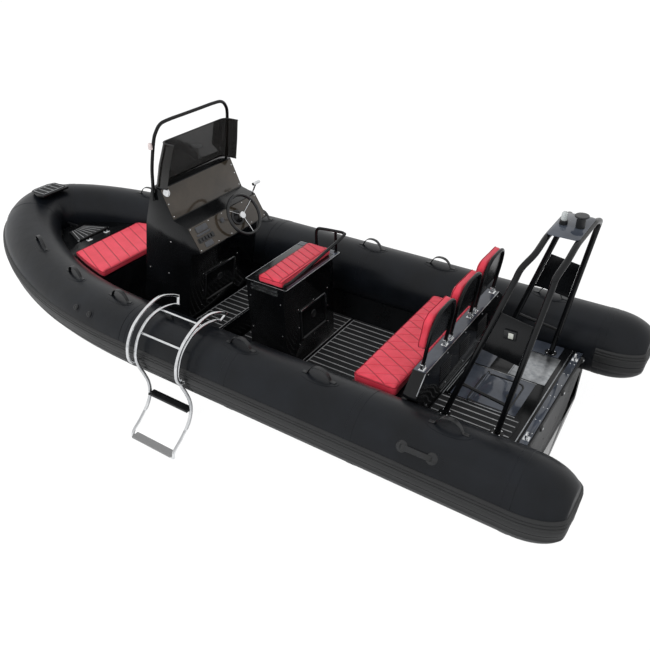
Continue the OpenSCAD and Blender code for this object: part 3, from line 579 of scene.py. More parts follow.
# ---- Cockpit floor ----------------------------------------------------------------------
# An aluminium sole covered with sheets of dark foam. Fore and aft grooves every 62 mm show
# the pale layer, and each sheet is edged by a cross groove where it stops.
floor_z = corners("sole")[1].z
piece("sole_plate", eased("sole", 2, 200), gloss, replaces=["sole"])
sheets, grooves = bmesh.new(), bmesh.new()
groove_z = 2.9                  # middle of a pale line, whose top ends just proud of 3 mm foam
for x0, x1, y0, y1 in ((1202, 1936, -622, 622), (1950, 2602, -622, 622), (2616, 3470, 420, 622),
                       (2616, 3470, -622, -420), (3484, 3758, -560, 560)):
    middle = ((x0 + x1) / 2, (y0 + y1) / 2)
    plate(sheets, [rounded_box(x1 - x0, y1 - y0, 14, 3, middle)], 3, at(0, 0, floor_z))
    for y in range(-651, 652, 62):
        if y0 + 12 < y < y1 - 12:
            line(grooves, (x0 + 12, y, floor_z + groove_z), (x1 - 12, y, floor_z + groove_z), 8)
for x in (1926, 1960):
    line(grooves, (x, -600, floor_z + groove_z), (x, 600, floor_z + groove_z), 6)
piece("sole_foam", sheets, dark_eva)
piece("sole_grooves", grooves, pale_eva)


# ---- Aft deck and its hatch -------------------------------------------------------------
# Gloss plates screwed down inside bare alloy borders round the foot of the arch, a strip of
# grooved foam along the port side, and a round-cornered hatch lid lying on a black gasket.
deck_z = 440                    # top of the deck
piece("aft_deck_plate", eased("aft_deck", 2, 60), gloss, replaces=["aft_deck"])
hatch = rounded_box(252, 330, 42, 6, (351, 130))
# The blue-grey deck panels: their colour is a painted reflection of the sky.
bm = bmesh.new()
up = at(0, 0, deck_z)
plate(bm, [rounded_box(452, 386, 10, 3, (388, 106)), rounded_box(288, 352, 50, 6, (358, 130))], 2.2, up)
plate(bm, [rounded_box(156, 360, 8, 3, (582, -286))], 2.2, up)
plate(bm, [rounded_box(212, 150, 8, 3, (240, -536))], 2.2, up)
piece("deck_panels_painted_sky_reflection", bm, gloss_painted_sky_grey, sharp=30)
bm = bmesh.new()
plate(bm, [rounded_box(250, 348, 6, 3, (235, -280))], 3, up)
for x0, y0, x1, y1 in ((160, 312, 620, 312), (160, -92, 620, -92), (74, -610, 74, 560), (655, -610, 655, 600),
                       (366, -460, 366, -104), (640, -100, 640, 290)):
    line(bm, (x0, y0, deck_z + 1), (x1, y1, deck_z + 1), 7, 4)
soften(bm, 0.8)
piece("alloy_deck_borders", bm, alloy)
sheets, grooves = bmesh.new(), bmesh.new()
plate(sheets, [rounded_box(548, 256, 12, 3, (386, 452))], 3, up)
for y in (345, 399, 453, 507, 561):
    line(grooves, (122, y, deck_z + groove_z), (650, y, deck_z + groove_z), 8)
piece("aft_deck_foam", sheets, dark_eva)
piece("aft_deck_grooves", grooves, pale_eva)
bm = bmesh.new()
plate(bm, [rounded_box(286, 350, 49, 6, (356, 130)), rounded_box(256, 334, 42, 6, (351, 130))], 3.6, up)
piece("hatch_gasket", bm, rubber)
bm = bmesh.new()
plate(bm, [hatch], 12.5, at(0, 0, deck_z - 11.5))
soften(bm, 1.5)
hinge_x, hinge_z = 482, deck_z + 8
sweep(bm, circle(bm, 7, 16), frames([(hinge_x, 130 + y, hinge_z) for y in (-165, 0, 165)], (0, 0, 1)))
block(bm, (462, -30, deck_z - 3), (479, 290, deck_z + 5))
piece("hatch_lid", bm, gloss_painted_sky_grey, body="aft_hatch", replaces=["aft_hatch_lid"])
bm = bmesh.new()
turned(bm, [(0, 1.5), (17, 1.5), (19, 4), (25, 4), (27, 0)], at(262, 130, deck_z + 1), 28)
line(bm, (262, 112, deck_z + 6), (262, 148, deck_z + 6), 7, 5)
piece("hatch_latch", bm, plastic, body="aft_hatch")


# ---- Bow locker, anchor lid and cleat ---------------------------------------------------
# A black plate locker fills the bow. Its small lid carries fanned foam lines and is hung on
# two stainless hinges; ahead of it a cross bar serves as the mooring cleat.
piece("bow_locker_body", eased("bow_locker", 4), gloss, replaces=["bow_locker"])
dress("anchor_locker_lid", gloss)
bow_deck = 520                  # top of the locker
lid_x, lid_far = 4512, corners("anchor_locker_lid")[1].x
bm = bmesh.new()
plate(bm, [[(lid_x, -184), (lid_far - 6, -92), (lid_far - 6, 92), (lid_x, 184)]], 3, at(0, 0, bow_deck))
piece("anchor_lid_foam", bm, dark_eva, body="anchor_lid")
bm = bmesh.new()
for k in range(-3, 4):
    line(bm, (lid_x + 14, 50 * k, bow_deck + 3), (lid_far - 14, 22 * k, bow_deck + 3), 6)
piece("anchor_lid_grooves", bm, pale_eva, body="anchor_lid")
bm = bmesh.new()
line(bm, (lid_x - 5, -186, bow_deck + 2), (lid_x - 5, 186, bow_deck + 2), 7, 4)
piece("anchor_lid_edge", bm, pale_eva, body="anchor_lid")
bm = bmesh.new()
for side in (-105, 105):
    plate(bm, [rounded_box(46, 58, 8, 3, (4440, side))], 3, at(0, 0, bow_deck))
soften(bm, 0.8)
bolts(bm, [at(x, side + y, bow_deck + 3) for side in (-105, 105) for x in (4426, 4454)
           for y in (-18, 18)], 5)
piece("anchor_lid_hinges", bm, steel)
cleat_low, cleat_high = corners("bow_cleat")
cleat_x, horn_z = (cleat_low.x + cleat_high.x) / 2, cleat_high.z - 9
bm = bmesh.new()
horn = [(x, 0, horn_z) for x in (cleat_low.x, cleat_x - 40, cleat_x + 40, cleat_high.x)]
sweep(bm, circle(bm, 8.7, 20), frames(horn, (0, 0, 1)))
for offset in (-35, 35):
    turned(bm, [(0, 32), (8.8, 32), (8.8, 0)], at(cleat_x + offset, 0, bow_deck), 24)
piece("bow_cleat_bar", bm, plastic, replaces=["bow_cleat"])


# ---- Bow cushion ------------------------------------------------------------------------
# Foam in a sewn red vinyl cover, cut to the tubes on each side: a top panel stitched into
# channels that slant to port, piping round its edge and a plain band below.
def worked(cover):
    """The mesh of an object with its modifiers worked in, which then go."""
    mesh = bpy.data.meshes.new_from_object(cover.evaluated_get(bpy.context.evaluated_depsgraph_get()))
    cover.modifiers.clear()
    cover.data = mesh
    return mesh


def blown_up(bm, voxel, swell):
    """A closed shape in millimetres, skinned in even cloth and blown up by pressure, never past swell."""
    scene = bpy.context.scene
    bmesh.ops.scale(bm, vec=(MM, MM, MM), verts=bm.verts)
    cover = bpy.data.objects.new("cover", bpy.data.meshes.new("cover"))
    bm.to_mesh(cover.data)
    scene.collection.objects.link(cover)
    remesh = cover.modifiers.new("Skin", "REMESH")
    remesh.mode, remesh.voxel_size = "VOXEL", voxel * MM
    skin = worked(cover)
    home = [vert.co.copy() for vert in skin.vertices]
    cloth = cover.modifiers.new("Cloth", "CLOTH").settings
    cloth.use_pressure = True
    cloth.uniform_pressure_force = 4
    cloth.effector_weights.gravity = 0
    for number in range(1, 21):
        scene.frame_set(number)
    skin = worked(cover)
    for vert, rest in zip(skin.vertices, home):
        move = vert.co - rest
        vert.co = rest + move * min(1, swell * MM / max(move.length, 1e-9))
    scene.frame_set(1)
    finer = cover.modifiers.new("Finer", "SUBSURF")
    finer.levels = finer.render_levels = 1
    skin = worked(cover)
    bm.clear()
    bm.from_mesh(skin)
    bmesh.ops.scale(bm, vec=(1 / MM, 1 / MM, 1 / MM), verts=bm.verts)
    smooth(bm.faces)
    bpy.data.objects.remove(cover)
    return bm


def stuffed(loop, low, thick, corner, voxel, swell, rest):
    """A slab from a height, its edges rounded over and blown up, pressed flat at the height it rests on."""
    bm = bmesh.new()
    plate(bm, [loop], thick, at(0, 0, low))
    soften(bm, corner, 3)
    bm = blown_up(bm, voxel, swell)
    for vert in bm.verts:
        vert.co.z = max(vert.co.z, rest)
    return bm


def sewn(bm, seam_gap, depth, width, up=Vector((0, 0, 1))):
    """Pulls a top panel in along its seams, and stores in the seam layer how far each upward point lies in a
    crease, which the vinyl darkens as painted shade. seam_gap gives a point's distance to the nearest seam.
    """
    layer = bm.verts.layers.float.new("seam")
    bm.normal_update()
    pulls = []
    for vert in bm.verts:
        facing = max(0, vert.normal.dot(up))
        pull = math.exp(-(seam_gap(vert.co) / width) ** 2) * min(1, facing * 1.6)
        vert[layer] = min(1, pull * pull * 1.1)
        pulls.append(depth * pull)
    for vert, pull in zip(bm.verts, pulls):
        vert.co -= pull * up


def upholstered(name, piping_name, bm, stands_for, edge, body="boat"):
    """A padded piece in red vinyl, with piping laid on it along a closed loop of points."""
    cover = piece(name, bm, vinyl, body, [stands_for], sharp=80)
    radius, path = 3, []
    for point in edge:
        _, nearest, normal, _ = cover.closest_point_on_mesh(Vector(point) * MM)
        path.append(nearest / MM + normal * radius * 0.4)
    bm = bmesh.new()
    sweep(bm, circle(bm, radius, 8), frames(path, (0, 0, 1), closed=True), closed=True)
    piece(piping_name, bm, cord_vinyl, body)


def spaced(points, gap):
    """Points of a closed loop laid out again about a gap apart."""
    made = []
    for a, b in zip(points, points[1:] + points[:1]):
        a, b = Vector(a), Vector(b)
        count = max(1, round((b - a).length / gap))
        made += [a.lerp(b, k / count) for k in range(count)]
    return made


# Marine vinyl: soft sheen, pressed leather grain drawn at 3 mm, and painted shade darkening the stitched seam
# creases.
vinyl = surface("red_marine_vinyl", ("#d23446", "#e0475a"), 140, (0.42, 0.55), (3.2, 0.12), (28, 0.8),
                IOR=1.48, Sheen_Weight=0.12, Sheen_Roughness=0.4)
tree = vinyl.node_tree
dyed = tree.nodes["Principled BSDF"].inputs["Base Color"]
# Painted shade: the seam layer mixes the vinyl towards deep red in the seam creases.
seam = add(tree, "Attribute", attribute_name="seam")
seam_crease_shade = add(tree, "Mix", {"Factor": seam.outputs["Fac"], 6: dyed.links[0].from_socket,
                             7: linear("#7d1523")}, data_type="RGBA")
tree.links.new(seam_crease_shade.outputs[2], dyed)
cord_vinyl = matt_sheet("piping_vinyl", ("#8d1c2b", "#a32636"))
pad_low, pad_high = corners("bow_seat_cushion")
inset = 24
side = [axis_station(i / 100) @ Vector((-(TUBE_R + 20) / TUBE_R, 0, 0)) for i in range(30, 80)]
side = [(p.x, p.y) for p in side if pad_low.x + 12 < p.x < pad_high.x - 12]
side = [(pad_low.x + 7, side[0][1] + 4)] + side[::3] + [(pad_high.x - 7, side[-1][1] - 6)]
loop = [(x, y - 5) for x, y in side] + [(x, 5 - y) for x, y in reversed(side)]
bm = stuffed(loop, pad_low.z + 2, pad_high.z - pad_low.z - 10, 12, 8, 8, pad_low.z + 0.3)
fore, aft = pad_high.x - inset, pad_low.x + inset
pitch = 112


def slanted_gap(co, pitch, degrees):
    """Distance to the nearest of the parallel seams, which lean to port as they run aft."""
    slant = math.radians(degrees)
    row = (co.y + co.x * math.tan(slant)) % pitch
    return min(row, pitch - row) * math.cos(slant)


def channel_gap(co):
    """Distance to the nearest seam of a cushion between its cross seams."""
    across = min(abs(co.x - fore), abs(co.x - aft))
    return min(across, slanted_gap(co, pitch, 23)) if aft < co.x < fore else across


sewn(bm, channel_gap, 6, 5)
edge = spaced([(x, y, pad_high.z - 5) for x, y in loop], 14)
upholstered("bow_cushion", "bow_cushion_piping", bm, "bow_seat_cushion", edge)


# ---- Console ----------------------------------------------------------------------------
# A folded aluminium box in gloss black, leaning back at the helm: a plain dash over a ledge,
# the instrument panel below it, and a door in the aft face above a grooved foot step.
def on_slope(low, high, y, share=0.5):
    """Station on a sloping face between two (x, z) points: X up the slope, Y to port, Z out of it."""
    slope = Vector((high[0] - low[0], 0, high[1] - low[1]))
    up_slope = slope.normalized()
    spot = Vector((low[0], y, low[1])) + share * slope
    return at(*spot) @ turned_to(up_slope, (0, 1, 0), up_slope.cross(Vector((0, 1, 0))))


def door_trim(name, place, width, height):
    """A door's gasket, screws and a stainless bead round its top corners, a painted highlight of the frame's
    lip, which stay behind, and the ring latch that swings with it, on a station with X out of the door and Z
    up it."""
    flat = place @ Matrix(((0, 0, 1, 0), (1, 0, 0, 0), (0, 1, 0, 0), (0, 0, 0, 1)))
    middle = (0, 5 + height / 2)
    bm = bmesh.new()
    plate(bm, [rounded_box(width + 46, height + 46, 34, 6, middle),
               rounded_box(width + 4, height + 4, 14, 6, middle)], 2.5, flat)
    soften(bm, 0.8)
    piece(name + "_frame", bm, plastic)
    # A stainless bead over the door's top corners, a painted highlight of the frame's rounded lip, with the
    # screws.
    bm = bmesh.new()
    top = middle[1] + height / 2 + 20
    edge = [(-width / 2 - 20, top - 90, 3), (-width / 2 - 20, top - 24, 3), (-width / 2 - 13, top - 7, 3),
            (-width / 2 + 4, top, 3), (width / 2 - 4, top, 3), (width / 2 + 13, top - 7, 3),
            (width / 2 + 20, top - 24, 3), (width / 2 + 20, top - 90, 3)]
    sweep(bm, circle(bm, 2.2, 8), [flat @ s for s in frames(edge, (0, 0, 1))])
    heads = [(k * (width / 2 + 45), y) for k in (-1, 1) for y in (-30, 125, 290)]
    bolts(bm, [flat @ at(x, y, 0) for x, y in heads + [(0, -38), (0, height + 44)]], 5.5)
    piece(name + "_screws_and_highlight_bead", bm, steel)
    bm = bmesh.new()
    turned(bm, [(0, 1), (22, 1), (24, 3), (32, 3), (34, 0)], flat @ at(0, middle[1] + 28, 0), 32)
    line(bm, (-17, middle[1] + 28, 3.5), (17, middle[1] + 28, 3.5), 7, 4, flat)
    piece(name + "_latch", bm, plastic, body=name)


# Smoke-brown acrylic sheet: polished, so that it mirrors the sky and the deck.
acrylic = surface("smoked_acrylic_sheet", ("#39332b", "#484036"), 260, (0.08, 0.16), (60, 0.15), IOR=1.49)
half_width = corners("console_body")[1].y
piece("console_box", eased("console_body", 5), gloss, replaces=["console_body"])
piece("console_hatch_panel", eased("console_door", 1.5, 60), gloss, body="console_hatch",
      replaces=["console_door"])
console_hatch = at(2950, 45, 80) @ spun(-11.5, "Y") @ spun(180, "Z") @ at(0, 0, 335)
door_trim("console_hatch", console_hatch, 335, 252)
bm = bmesh.new()
dash_ends = (2917, 1193), (3015, 1423)
dash = on_slope(*dash_ends, 0)
helm = on_slope((2671, 976), (2781, 1160), -100)
plate(bm, [rounded_box(236, 2 * half_width - 14, 6, 3)], 2, dash)
plate(bm, [rounded_box(200, 2 * half_width - 14, 6, 3, (0, 100))], 2, helm)
soften(bm, 0.7)
piece("dash_sheets", bm, acrylic)
bm = bmesh.new()
turned(bm, [(0, 4), (24, 4), (26, 8), (31, 8), (33, 1), (33, 0)], on_slope(*dash_ends, 362, 0.84), 40)
for y in (-384, 384):
    bolts(bm, [dash @ at(x, y, 2) for x in (-100, 0, 70)], 5)
bolts(bm, [helm @ at(x, y, 2) for x in (-88, 88) for y in (-285, -120, 130, 285, 486)], 4.5)
side_bolts = [(2990, 200), (3380, 200), (3060, 700), (3270, 700), (2980, 1000)]
bolts(bm, [at(x, k * half_width, z) @ spun(-90 * k, "X") for x, z in side_bolts for k in (-1, 1)], 5.5)
piece("console_bolts", bm, steel)
panel_grey = moulded_plastic("grey_switch_plastic", ("#3a3c40", "#4a4d52"))
bm = bmesh.new()
plate(bm, [rounded_box(46, 120, 6, 3, (62, 385))], 12, helm)
plate(bm, [rounded_box(16, 150, 5, 3, (22, 385))], 8, helm)
plate(bm, [rounded_box(40, 84, 6, 3, (-66, 385))], 9, helm)
plate(bm, [rounded_box(34, 34, 6, 3, (40, 160))], 14, helm)
soften(bm, 2)
piece("switch_blocks", bm, panel_grey)
bm = bmesh.new()
plate(bm, [rounded_box(40, 176, 6, 3, (-18, 385))], 6, helm)
soften(bm, 1.5)
for k in range(5):
    block(bm, (-32, 309 + 33 * k, 5), (-4, 329 + 33 * k, 11), helm @ Matrix.Rotation(0.09, 4, "Y"))
piece("rocker_switches", bm, plastic)
bm = bmesh.new()
turned(bm, [(62, 0), (62, 12), (58, 14), (46, 16), (41, 30), (33, 51), (30, 52), (0, 52)], helm, 48)
piece("helm_bezel_cone", bm, plastic, replaces=["helm_bezel"])


# ---- Steering wheel and throttle --------------------------------------------------------
# A moulded grip on a 350 mm rim with finger swells, three polished spokes and a domed hub
# turn as one; the polished throttle lever stands still on the console's side.
bm = bmesh.new()
rim = [(161 * math.cos(math.tau * k / 96), 161 * math.sin(math.tau * k / 96), 92) for k in range(96)]
swells = [1 + 0.05 * math.sin(math.tau * k / 6) for k in range(96)]
grip = [station @ Matrix.Diagonal((swell, swell, 1, 1))
        for station, swell in zip(frames(rim, (0, 0, 1), closed=True), swells)]
sweep(bm, circle(bm, 13, 16), grip, closed=True)
bmesh.ops.transform(bm, matrix=helm, verts=bm.verts)
piece("steering_rim", bm, plastic, body="steering", replaces=["steering_wheel"])
bm = bmesh.new()
for degrees in (60, 180, 300):
    spoke = helm @ spun(degrees, "Z")
    path = curve([(20, 0, 70), (60, 0, 76), (110, 0, 86), (152, 0, 91)], 4)
    sweep(bm, outline(bm, rounded_box(18, 5, 2.2, 3)), [spoke @ s for s in frames(path, (0, 1, 0))])
turned(bm, [(31, 60), (31, 74), (28, 80), (20, 83), (0, 84)], helm, 40)
piece("steering_spokes", bm, steel, body="steering")
piece("throttle_lever", eased("throttle_control", 1.2, 8), steel,
      replaces=["throttle_control"], sharp=50)


# ---- Foot step --------------------------------------------------------------------------
# A gloss black box the helmsman stands on: dark foam on top with pale fore and aft grooves
# and a bright folded edge round it.
step_low, step_high = corners("foot_step")
piece("foot_step_box", eased("foot_step", 4), gloss, replaces=["foot_step"])
middle = ((step_low.x + step_high.x) / 2 - 20, 0)
length, width = step_high.x - step_low.x - 60, step_high.y - step_low.y - 24
bm = bmesh.new()
plate(bm, [rounded_box(length, width, 14, 3, middle)], 3, at(0, 0, step_high.z))
piece("foot_step_foam", bm, dark_eva)
bm = bmesh.new()
ends = [middle[0] + k * (length / 2 - 14) for k in (-1, 1)]
z = step_high.z + groove_z
for k in range(-6, 7):
    line(bm, (ends[0], 60 * k, z), (ends[1], 60 * k, z), 8)
for x in ends:
    line(bm, (x, -360, z), (x, 360, z), 6)
piece("foot_step_grooves", bm, pale_eva)
bm = bmesh.new()
line(bm, (step_low.x + 3, -396, step_high.z + 0.5), (step_low.x + 3, 396, step_high.z + 0.5), 7, 3)
piece("foot_step_edge", bm, alloy)


# ---- Windscreen, rail and lights --------------------------------------------------------
# A smoked acrylic screen folded round three sides, edged in rubber and held by a bent black
# rail; a small white lamp stands at its port corner.
def lens(name, colours):
    """Moulded lens of clear polycarbonate: pale, smooth and thick, frosted inside."""
    return surface(name, colours, 20, (0.08, 0.16), IOR=1.49, Transmission_Weight=0.35)


def tube(bm, points, radius, across=(1, 0, 0), steps=6, sides=20, mirror=True):
    """A bent round tube through half a list of points and its mirror across the boat."""
    points = points + ([(x, -y, z) for x, y, z in reversed(points)] if mirror else [])
    sweep(bm, circle(bm, radius, sides), frames(curve(points, steps), across))


black_paint = powder_coat("black_tube_paint", ("#08090a", "#0f1012"), (0.16, 0.26))
bend = [math.radians(15 * k) for k in range(1, 7)]
plan = [(-150, -398), (-60, -398)] + [(-60 + 60 * math.sin(a), -338 - 60 * math.cos(a)) for a in bend]
plan += [(0, 338)] + [(x, -y) for x, y in reversed(plan[1:-1])] + [(-150, 398)]
back = [(-150, 393), (-60, 393)] + [(-60 + 55 * math.sin(a), 338 + 55 * math.cos(a)) for a in bend]
back += [(x, -y) for x, y in reversed(back)]
levels = [(3092, 398, 150, 1430.3), (3069, 390, 150, 1516.4), (3046, 382, 150, 1602.5),
          (3017, 368.5, 145, 1688.7), (2988, 355, 140, 1775)]
screen_steps = [at(x, 0, z) @ Matrix.Diagonal((depth / 150, half / 398, 1, 1))
                for x, half, depth, z in levels]
# Smoked acrylic: nearly opaque, polished, with faint ripples of its bending.
smoked = surface("smoked_acrylic_screen", ("#121110", "#1c1a18"), 300, (0.04, 0.1), (90, 0.3),
                 IOR=1.49, Alpha=0.9)
bm = bmesh.new()
sweep(bm, outline(bm, plan + back), screen_steps)
piece("smoked_screen", bm, smoked, replaces=["windscreen"])
bm = bmesh.new()
for stage in (screen_steps[0] @ at(0, 0, 5), screen_steps[-1] @ at(0, 0, -3)):
    path = [stage @ Vector((x, y, 0)) for x, y in plan]
    sweep(bm, circle(bm, 4.5, 10), frames(path, (0, 0, 1)))
piece("screen_edging", bm, rubber)
bm = bmesh.new()
bolts(bm, [screen_steps[1] @ at(x, k * 398, -60) @ spun(-90 * k, "X")
           for x in (-130, -80) for k in (-1, 1)], 5)
bolts(bm, [screen_steps[0] @ at(1, y, 22) @ spun(90, "Y") for y in (-300, -100, 100, 300)], 5)
piece("screen_bolts", bm, steel)
bm = bmesh.new()
tube(bm, [(3085, 420.5, 1330), (3062, 420.5, 1466), (3040, 420.5, 1600), (2999, 405, 1790), (2985, 380, 1860),
          (2980, 330, 1905), (2980, 240, 1915), (2980, 80, 1915)], 13)
for k in (-1, 1):
    for x, z in ((3083, 1345), (3070, 1410)):
        block(bm, (x - 19, min(k * 404, k * 424), z - 12), (x + 19, max(k * 404, k * 424), z + 12))
piece("screen_rail", bm, black_paint, replaces=["windscreen_rail"])
bm = bmesh.new()
light_low, light_high = corners("nav_light")
place = at((light_low.x + light_high.x) / 2, (light_low.y + light_high.y) / 2, light_low.z)
turned(bm, [(0, 0), (15.5, 0), (15.5, 34), (14, 41), (9, 47), (0, 49.5)], place, 28)
piece("side_lamp", bm, lens("rose_white_lens", ("#e9dad8", "#f6ecea")), replaces=["nav_light"])


# ---- Helm seat --------------------------------------------------------------------------
# A plate locker with a narrow cushion on a tray lipped in painted sky-reflection grey, a bent
# backrest hoop with a long bar along its aft edge, two bright grab strips to port and a hatch in the aft
# face.
box_low, box_high = corners("helm_seat_box")
piece("helm_seat_locker", eased("helm_seat_box", 4), gloss, replaces=["helm_seat_box"])
piece("helm_seat_hatch_panel", eased("helm_seat_door", 1.5, 60), gloss,
      body="helm_seat_hatch", replaces=["helm_seat_door"])
helm_hatch = at(1960, -45, 285) @ spun(180, "Z")
door_trim("helm_seat_hatch", helm_hatch, 310, 240)
bm = bmesh.new()
box_size, box_middle = box_high - box_low, (box_low + box_high) / 2
rim = rounded_box(box_size.x - 6, box_size.y - 8, 8, 3, box_middle.xy)
path = [(x, y, box_high.z - 2) for x, y in rim]
sweep(bm, circle(bm, 3.2, 8), frames(path, (0, 0, 1), closed=True), closed=True)
for z in (770, 800):
    block(bm, (2010, 330, z), (2260, 336, z + 12))
bolts(bm, [at(x, 336, z + 6) @ spun(-90, "X") for x in (2026, 2244) for z in (770, 800)], 4)
bolts(bm, [at(x, 330, z) @ spun(-90, "X") for x in (1990, 2275) for z in (140, 420, 700)], 5.5)
piece("helm_seat_bright_work", bm, alloy)
bm = bmesh.new()
tray = at(0, 0, box_high.z)
plate(bm, [rounded_box(box_size.x - 14, 52, 8, 3, (box_middle.x, box_low.y + 34))], 0.8, tray)
plate(bm, [rounded_box(20, box_size.y - 16, 3, 3, (box_low.x + 17, box_middle.y))], 0.9, tray)
piece("helm_tray_sheet", bm, gloss_painted_sky_grey)
bm = bmesh.new()
rail = [(2146, -380, 841), (2146, -380, 960), (2130, -380, 1000), (2090, -380, 1012), (1930, -380, 1024),
        (1882, -372, 1026), (1862, -330, 1020), (1881, -33, 966), (1900, 264, 912), (1912, 309, 900),
        (1945, 322, 875), (1945, 322, 858), (1945, 322, 841)]
tube(bm, rail, 12, across=(0.6, 0.6, 0.6), mirror=False)
sweep(bm, circle(bm, 11.5, 20), frames([(1960, -380, z) for z in (841, 930, 1016)], (1, 0, 0)))
for x, y in ((2146, -378), (1960, -378), (1945, 320)):
    turned(bm, [(0, 7), (14, 7), (16, 4), (16, 0)], at(x, y, box_high.z), 24)
piece("helm_seat_hoop", bm, black_paint, replaces=["helm_seat_rail"])
pad_low, pad_high = corners("helm_seat_cushion")
middle = ((pad_low.x + pad_high.x) / 2, 0)
loop = rounded_box(pad_high.x - pad_low.x - 10, pad_high.y - pad_low.y - 10, 22, 4, middle)
bm = stuffed(loop, pad_low.z + 2, pad_high.z - pad_low.z - 9, 12, 6, 7, pad_low.z + 0.3)
aft, fore, pitch = pad_low.x + 30, pad_high.x - 18, 70
sewn(bm, channel_gap, 5, 4.5)
edge = spaced([(x, y, pad_high.z - 6) for x, y in loop], 12)
upholstered("helm_cushion", "helm_cushion_piping", bm, "helm_seat_cushion", edge)


# ---- Rear seat --------------------------------------------------------------------------
# A plate box across the boat with a raised ledge behind the bench. The bench is quilted in
# long diamonds; three backrests of foam on moulded shells fold forward on stainless feet.
bench_low, bench_high = corners("rear_seat_box")
piece("rear_seat_plating", eased("rear_seat_box", 4), gloss, replaces=["rear_seat_box"])
bm = bmesh.new()
block(bm, (bench_low.x + 1, -590, bench_high.z - 1.5), (bench_low.x + 6, 590, bench_high.z + 1))
for k in (-1, 1):
    slope = at(bench_low.x + 1, k * 593, bench_high.z) @ Matrix.Rotation(-k * 0.741, 4, "X")
    block(bm, (0, min(0, k * 150), -1.5), (5, max(0, k * 150), 1), slope)
bolts(bm, [at(bench_low.x, y, z) @ spun(-90, "Y") for y in range(-560, 561, 280) for z in (500, 740)], 5.5)
piece("ledge_edge", bm, alloy)
bm = bmesh.new()
plate(bm, [rounded_box(84, 1176, 6, 3, (bench_low.x + 50, 0))], 0.8, at(0, 0, bench_high.z))
piece("ledge_sheet", bm, gloss_painted_sky_grey)
bm = bmesh.new()
for y in (-300, 0, 300):
    for z in range(560, 681, 20):
        block(bm, (bench_low.x - 4, y - 80, z), (bench_low.x + 1, y + 80, z + 9))
soften(bm, 1)
piece("ledge_louvres", bm, plastic)
pad_low, pad_high = corners("rear_seat_cushion")
middle = ((pad_low.x + pad_high.x) / 2, 0)
loop = rounded_box(pad_high.x - pad_low.x - 10, pad_high.y - pad_low.y - 10, 26, 4, middle)
bm = stuffed(loop, pad_low.z + 2, pad_high.z - pad_low.z - 10, 14, 7, 8, pad_low.z + 0.3)
edge_gap, pitch = 20, 108


def diamond_gap(co):
    """Distance to the nearest seam of the bench's quilting."""
    if not (pad_low.x + edge_gap < co.x < pad_high.x - edge_gap and abs(co.y) < pad_high.y - edge_gap):
        return min(abs(co.x - pad_low.x - edge_gap), abs(co.x - pad_high.x + edge_gap),
                   abs(abs(co.y) - pad_high.y + edge_gap))
    return min(slanted_gap(co, pitch, 27), slanted_gap(co, pitch, -27) + 2)


sewn(bm, diamond_gap, 5, 4.5)
edge = spaced([(x, y, pad_high.z - 7) for x, y in loop], 14)
upholstered("bench_cushion", "bench_cushion_piping", bm, "rear_seat_cushion", edge)

# Backrests: one pad is blown up lying flat and then stood on each of the three frames.
piece("backrest_feet", eased("backrest_clevises", 1, 20), steel, replaces=["backrest_clevises"])
loop = rounded_box(278, 332, 58, 8)
pad = stuffed(loop, 5, 50, 14, 6, 7, 0.3)
sewn(pad, lambda co: abs(max(abs(co.x) - 117, abs(co.y) - 144)), 3.5, 5)
half = [(0, 160, 9), (0, 160, 30), (0, 161, 130), (0, 158, 231), (0, 142, 298), (0, 108, 350), (0, 55, 372)]
shell_edge = [(y, z) for x, y, z in half[2:]]
shell_edge = [(160, 101)] + shell_edge + [(-y, z) for y, z in reversed(shell_edge)] + [(-160, 101)]
for side, offset in (("port", 398), ("centre", 0), ("starboard", -398)):
    seat = at(704, offset, 801) @ spun(-9, "Y")
    bm = bmesh.new()
    points = half + [(x, -y, z) for x, y, z in reversed(half)]
    sweep(bm, circle(bm, 12.3, 20), [seat @ s for s in frames(curve(points, 6), (1, 0, 0))])
    for k in (-1, 1):
        boss = seat @ at(0, k * 160, 0) @ spun(90, "X")
        turned(bm, [(5.2, -12.8), (13, -12.8), (13.8, -12), (13.8, 12), (13, 12.8), (5.2, 12.8),
                    (5.2, -12.8)], boss, 28)
    plate(bm, [shell_edge], 7, seat @ Matrix(((0, 0, 1, 3), (1, 0, 0, 0), (0, 1, 0, 0), (0, 0, 0, 1))))
    piece(side + "_backrest_hoop", bm, black_paint, body=side + "_backrest",
          replaces=[side + "_backrest_frame"])
    stand = seat @ Matrix(((0, 0, 1, 12.8), (0, -1, 0, 0), (1, 0, 0, 216), (0, 0, 0, 1)))
    bm = pad.copy()
    bmesh.ops.transform(bm, matrix=stand, verts=bm.verts)
    edge = spaced([stand @ Vector((x, y, 55)) for x, y in loop], 12)
    upholstered(side + "_backrest_cushion", side + "_backrest_piping", bm, side + "_backrest_pad", edge,
                side + "_backrest")
pad.free()


# ---- Arch, its lights and the tow post --------------------------------------------------
# Two bent hoops of black tube tied by rungs, with a side panel between the legs and a
# polished plate on top that carries the all-round lamp and the mushroom tow post.
def leg(x0, x1, side, z):
    """Point on an arch leg at a height above the deck."""
    t = z / 1099.5
    return x0 + (x1 - x0) * 0.88 * t, side * (504 - 104 * t), deck_z + z


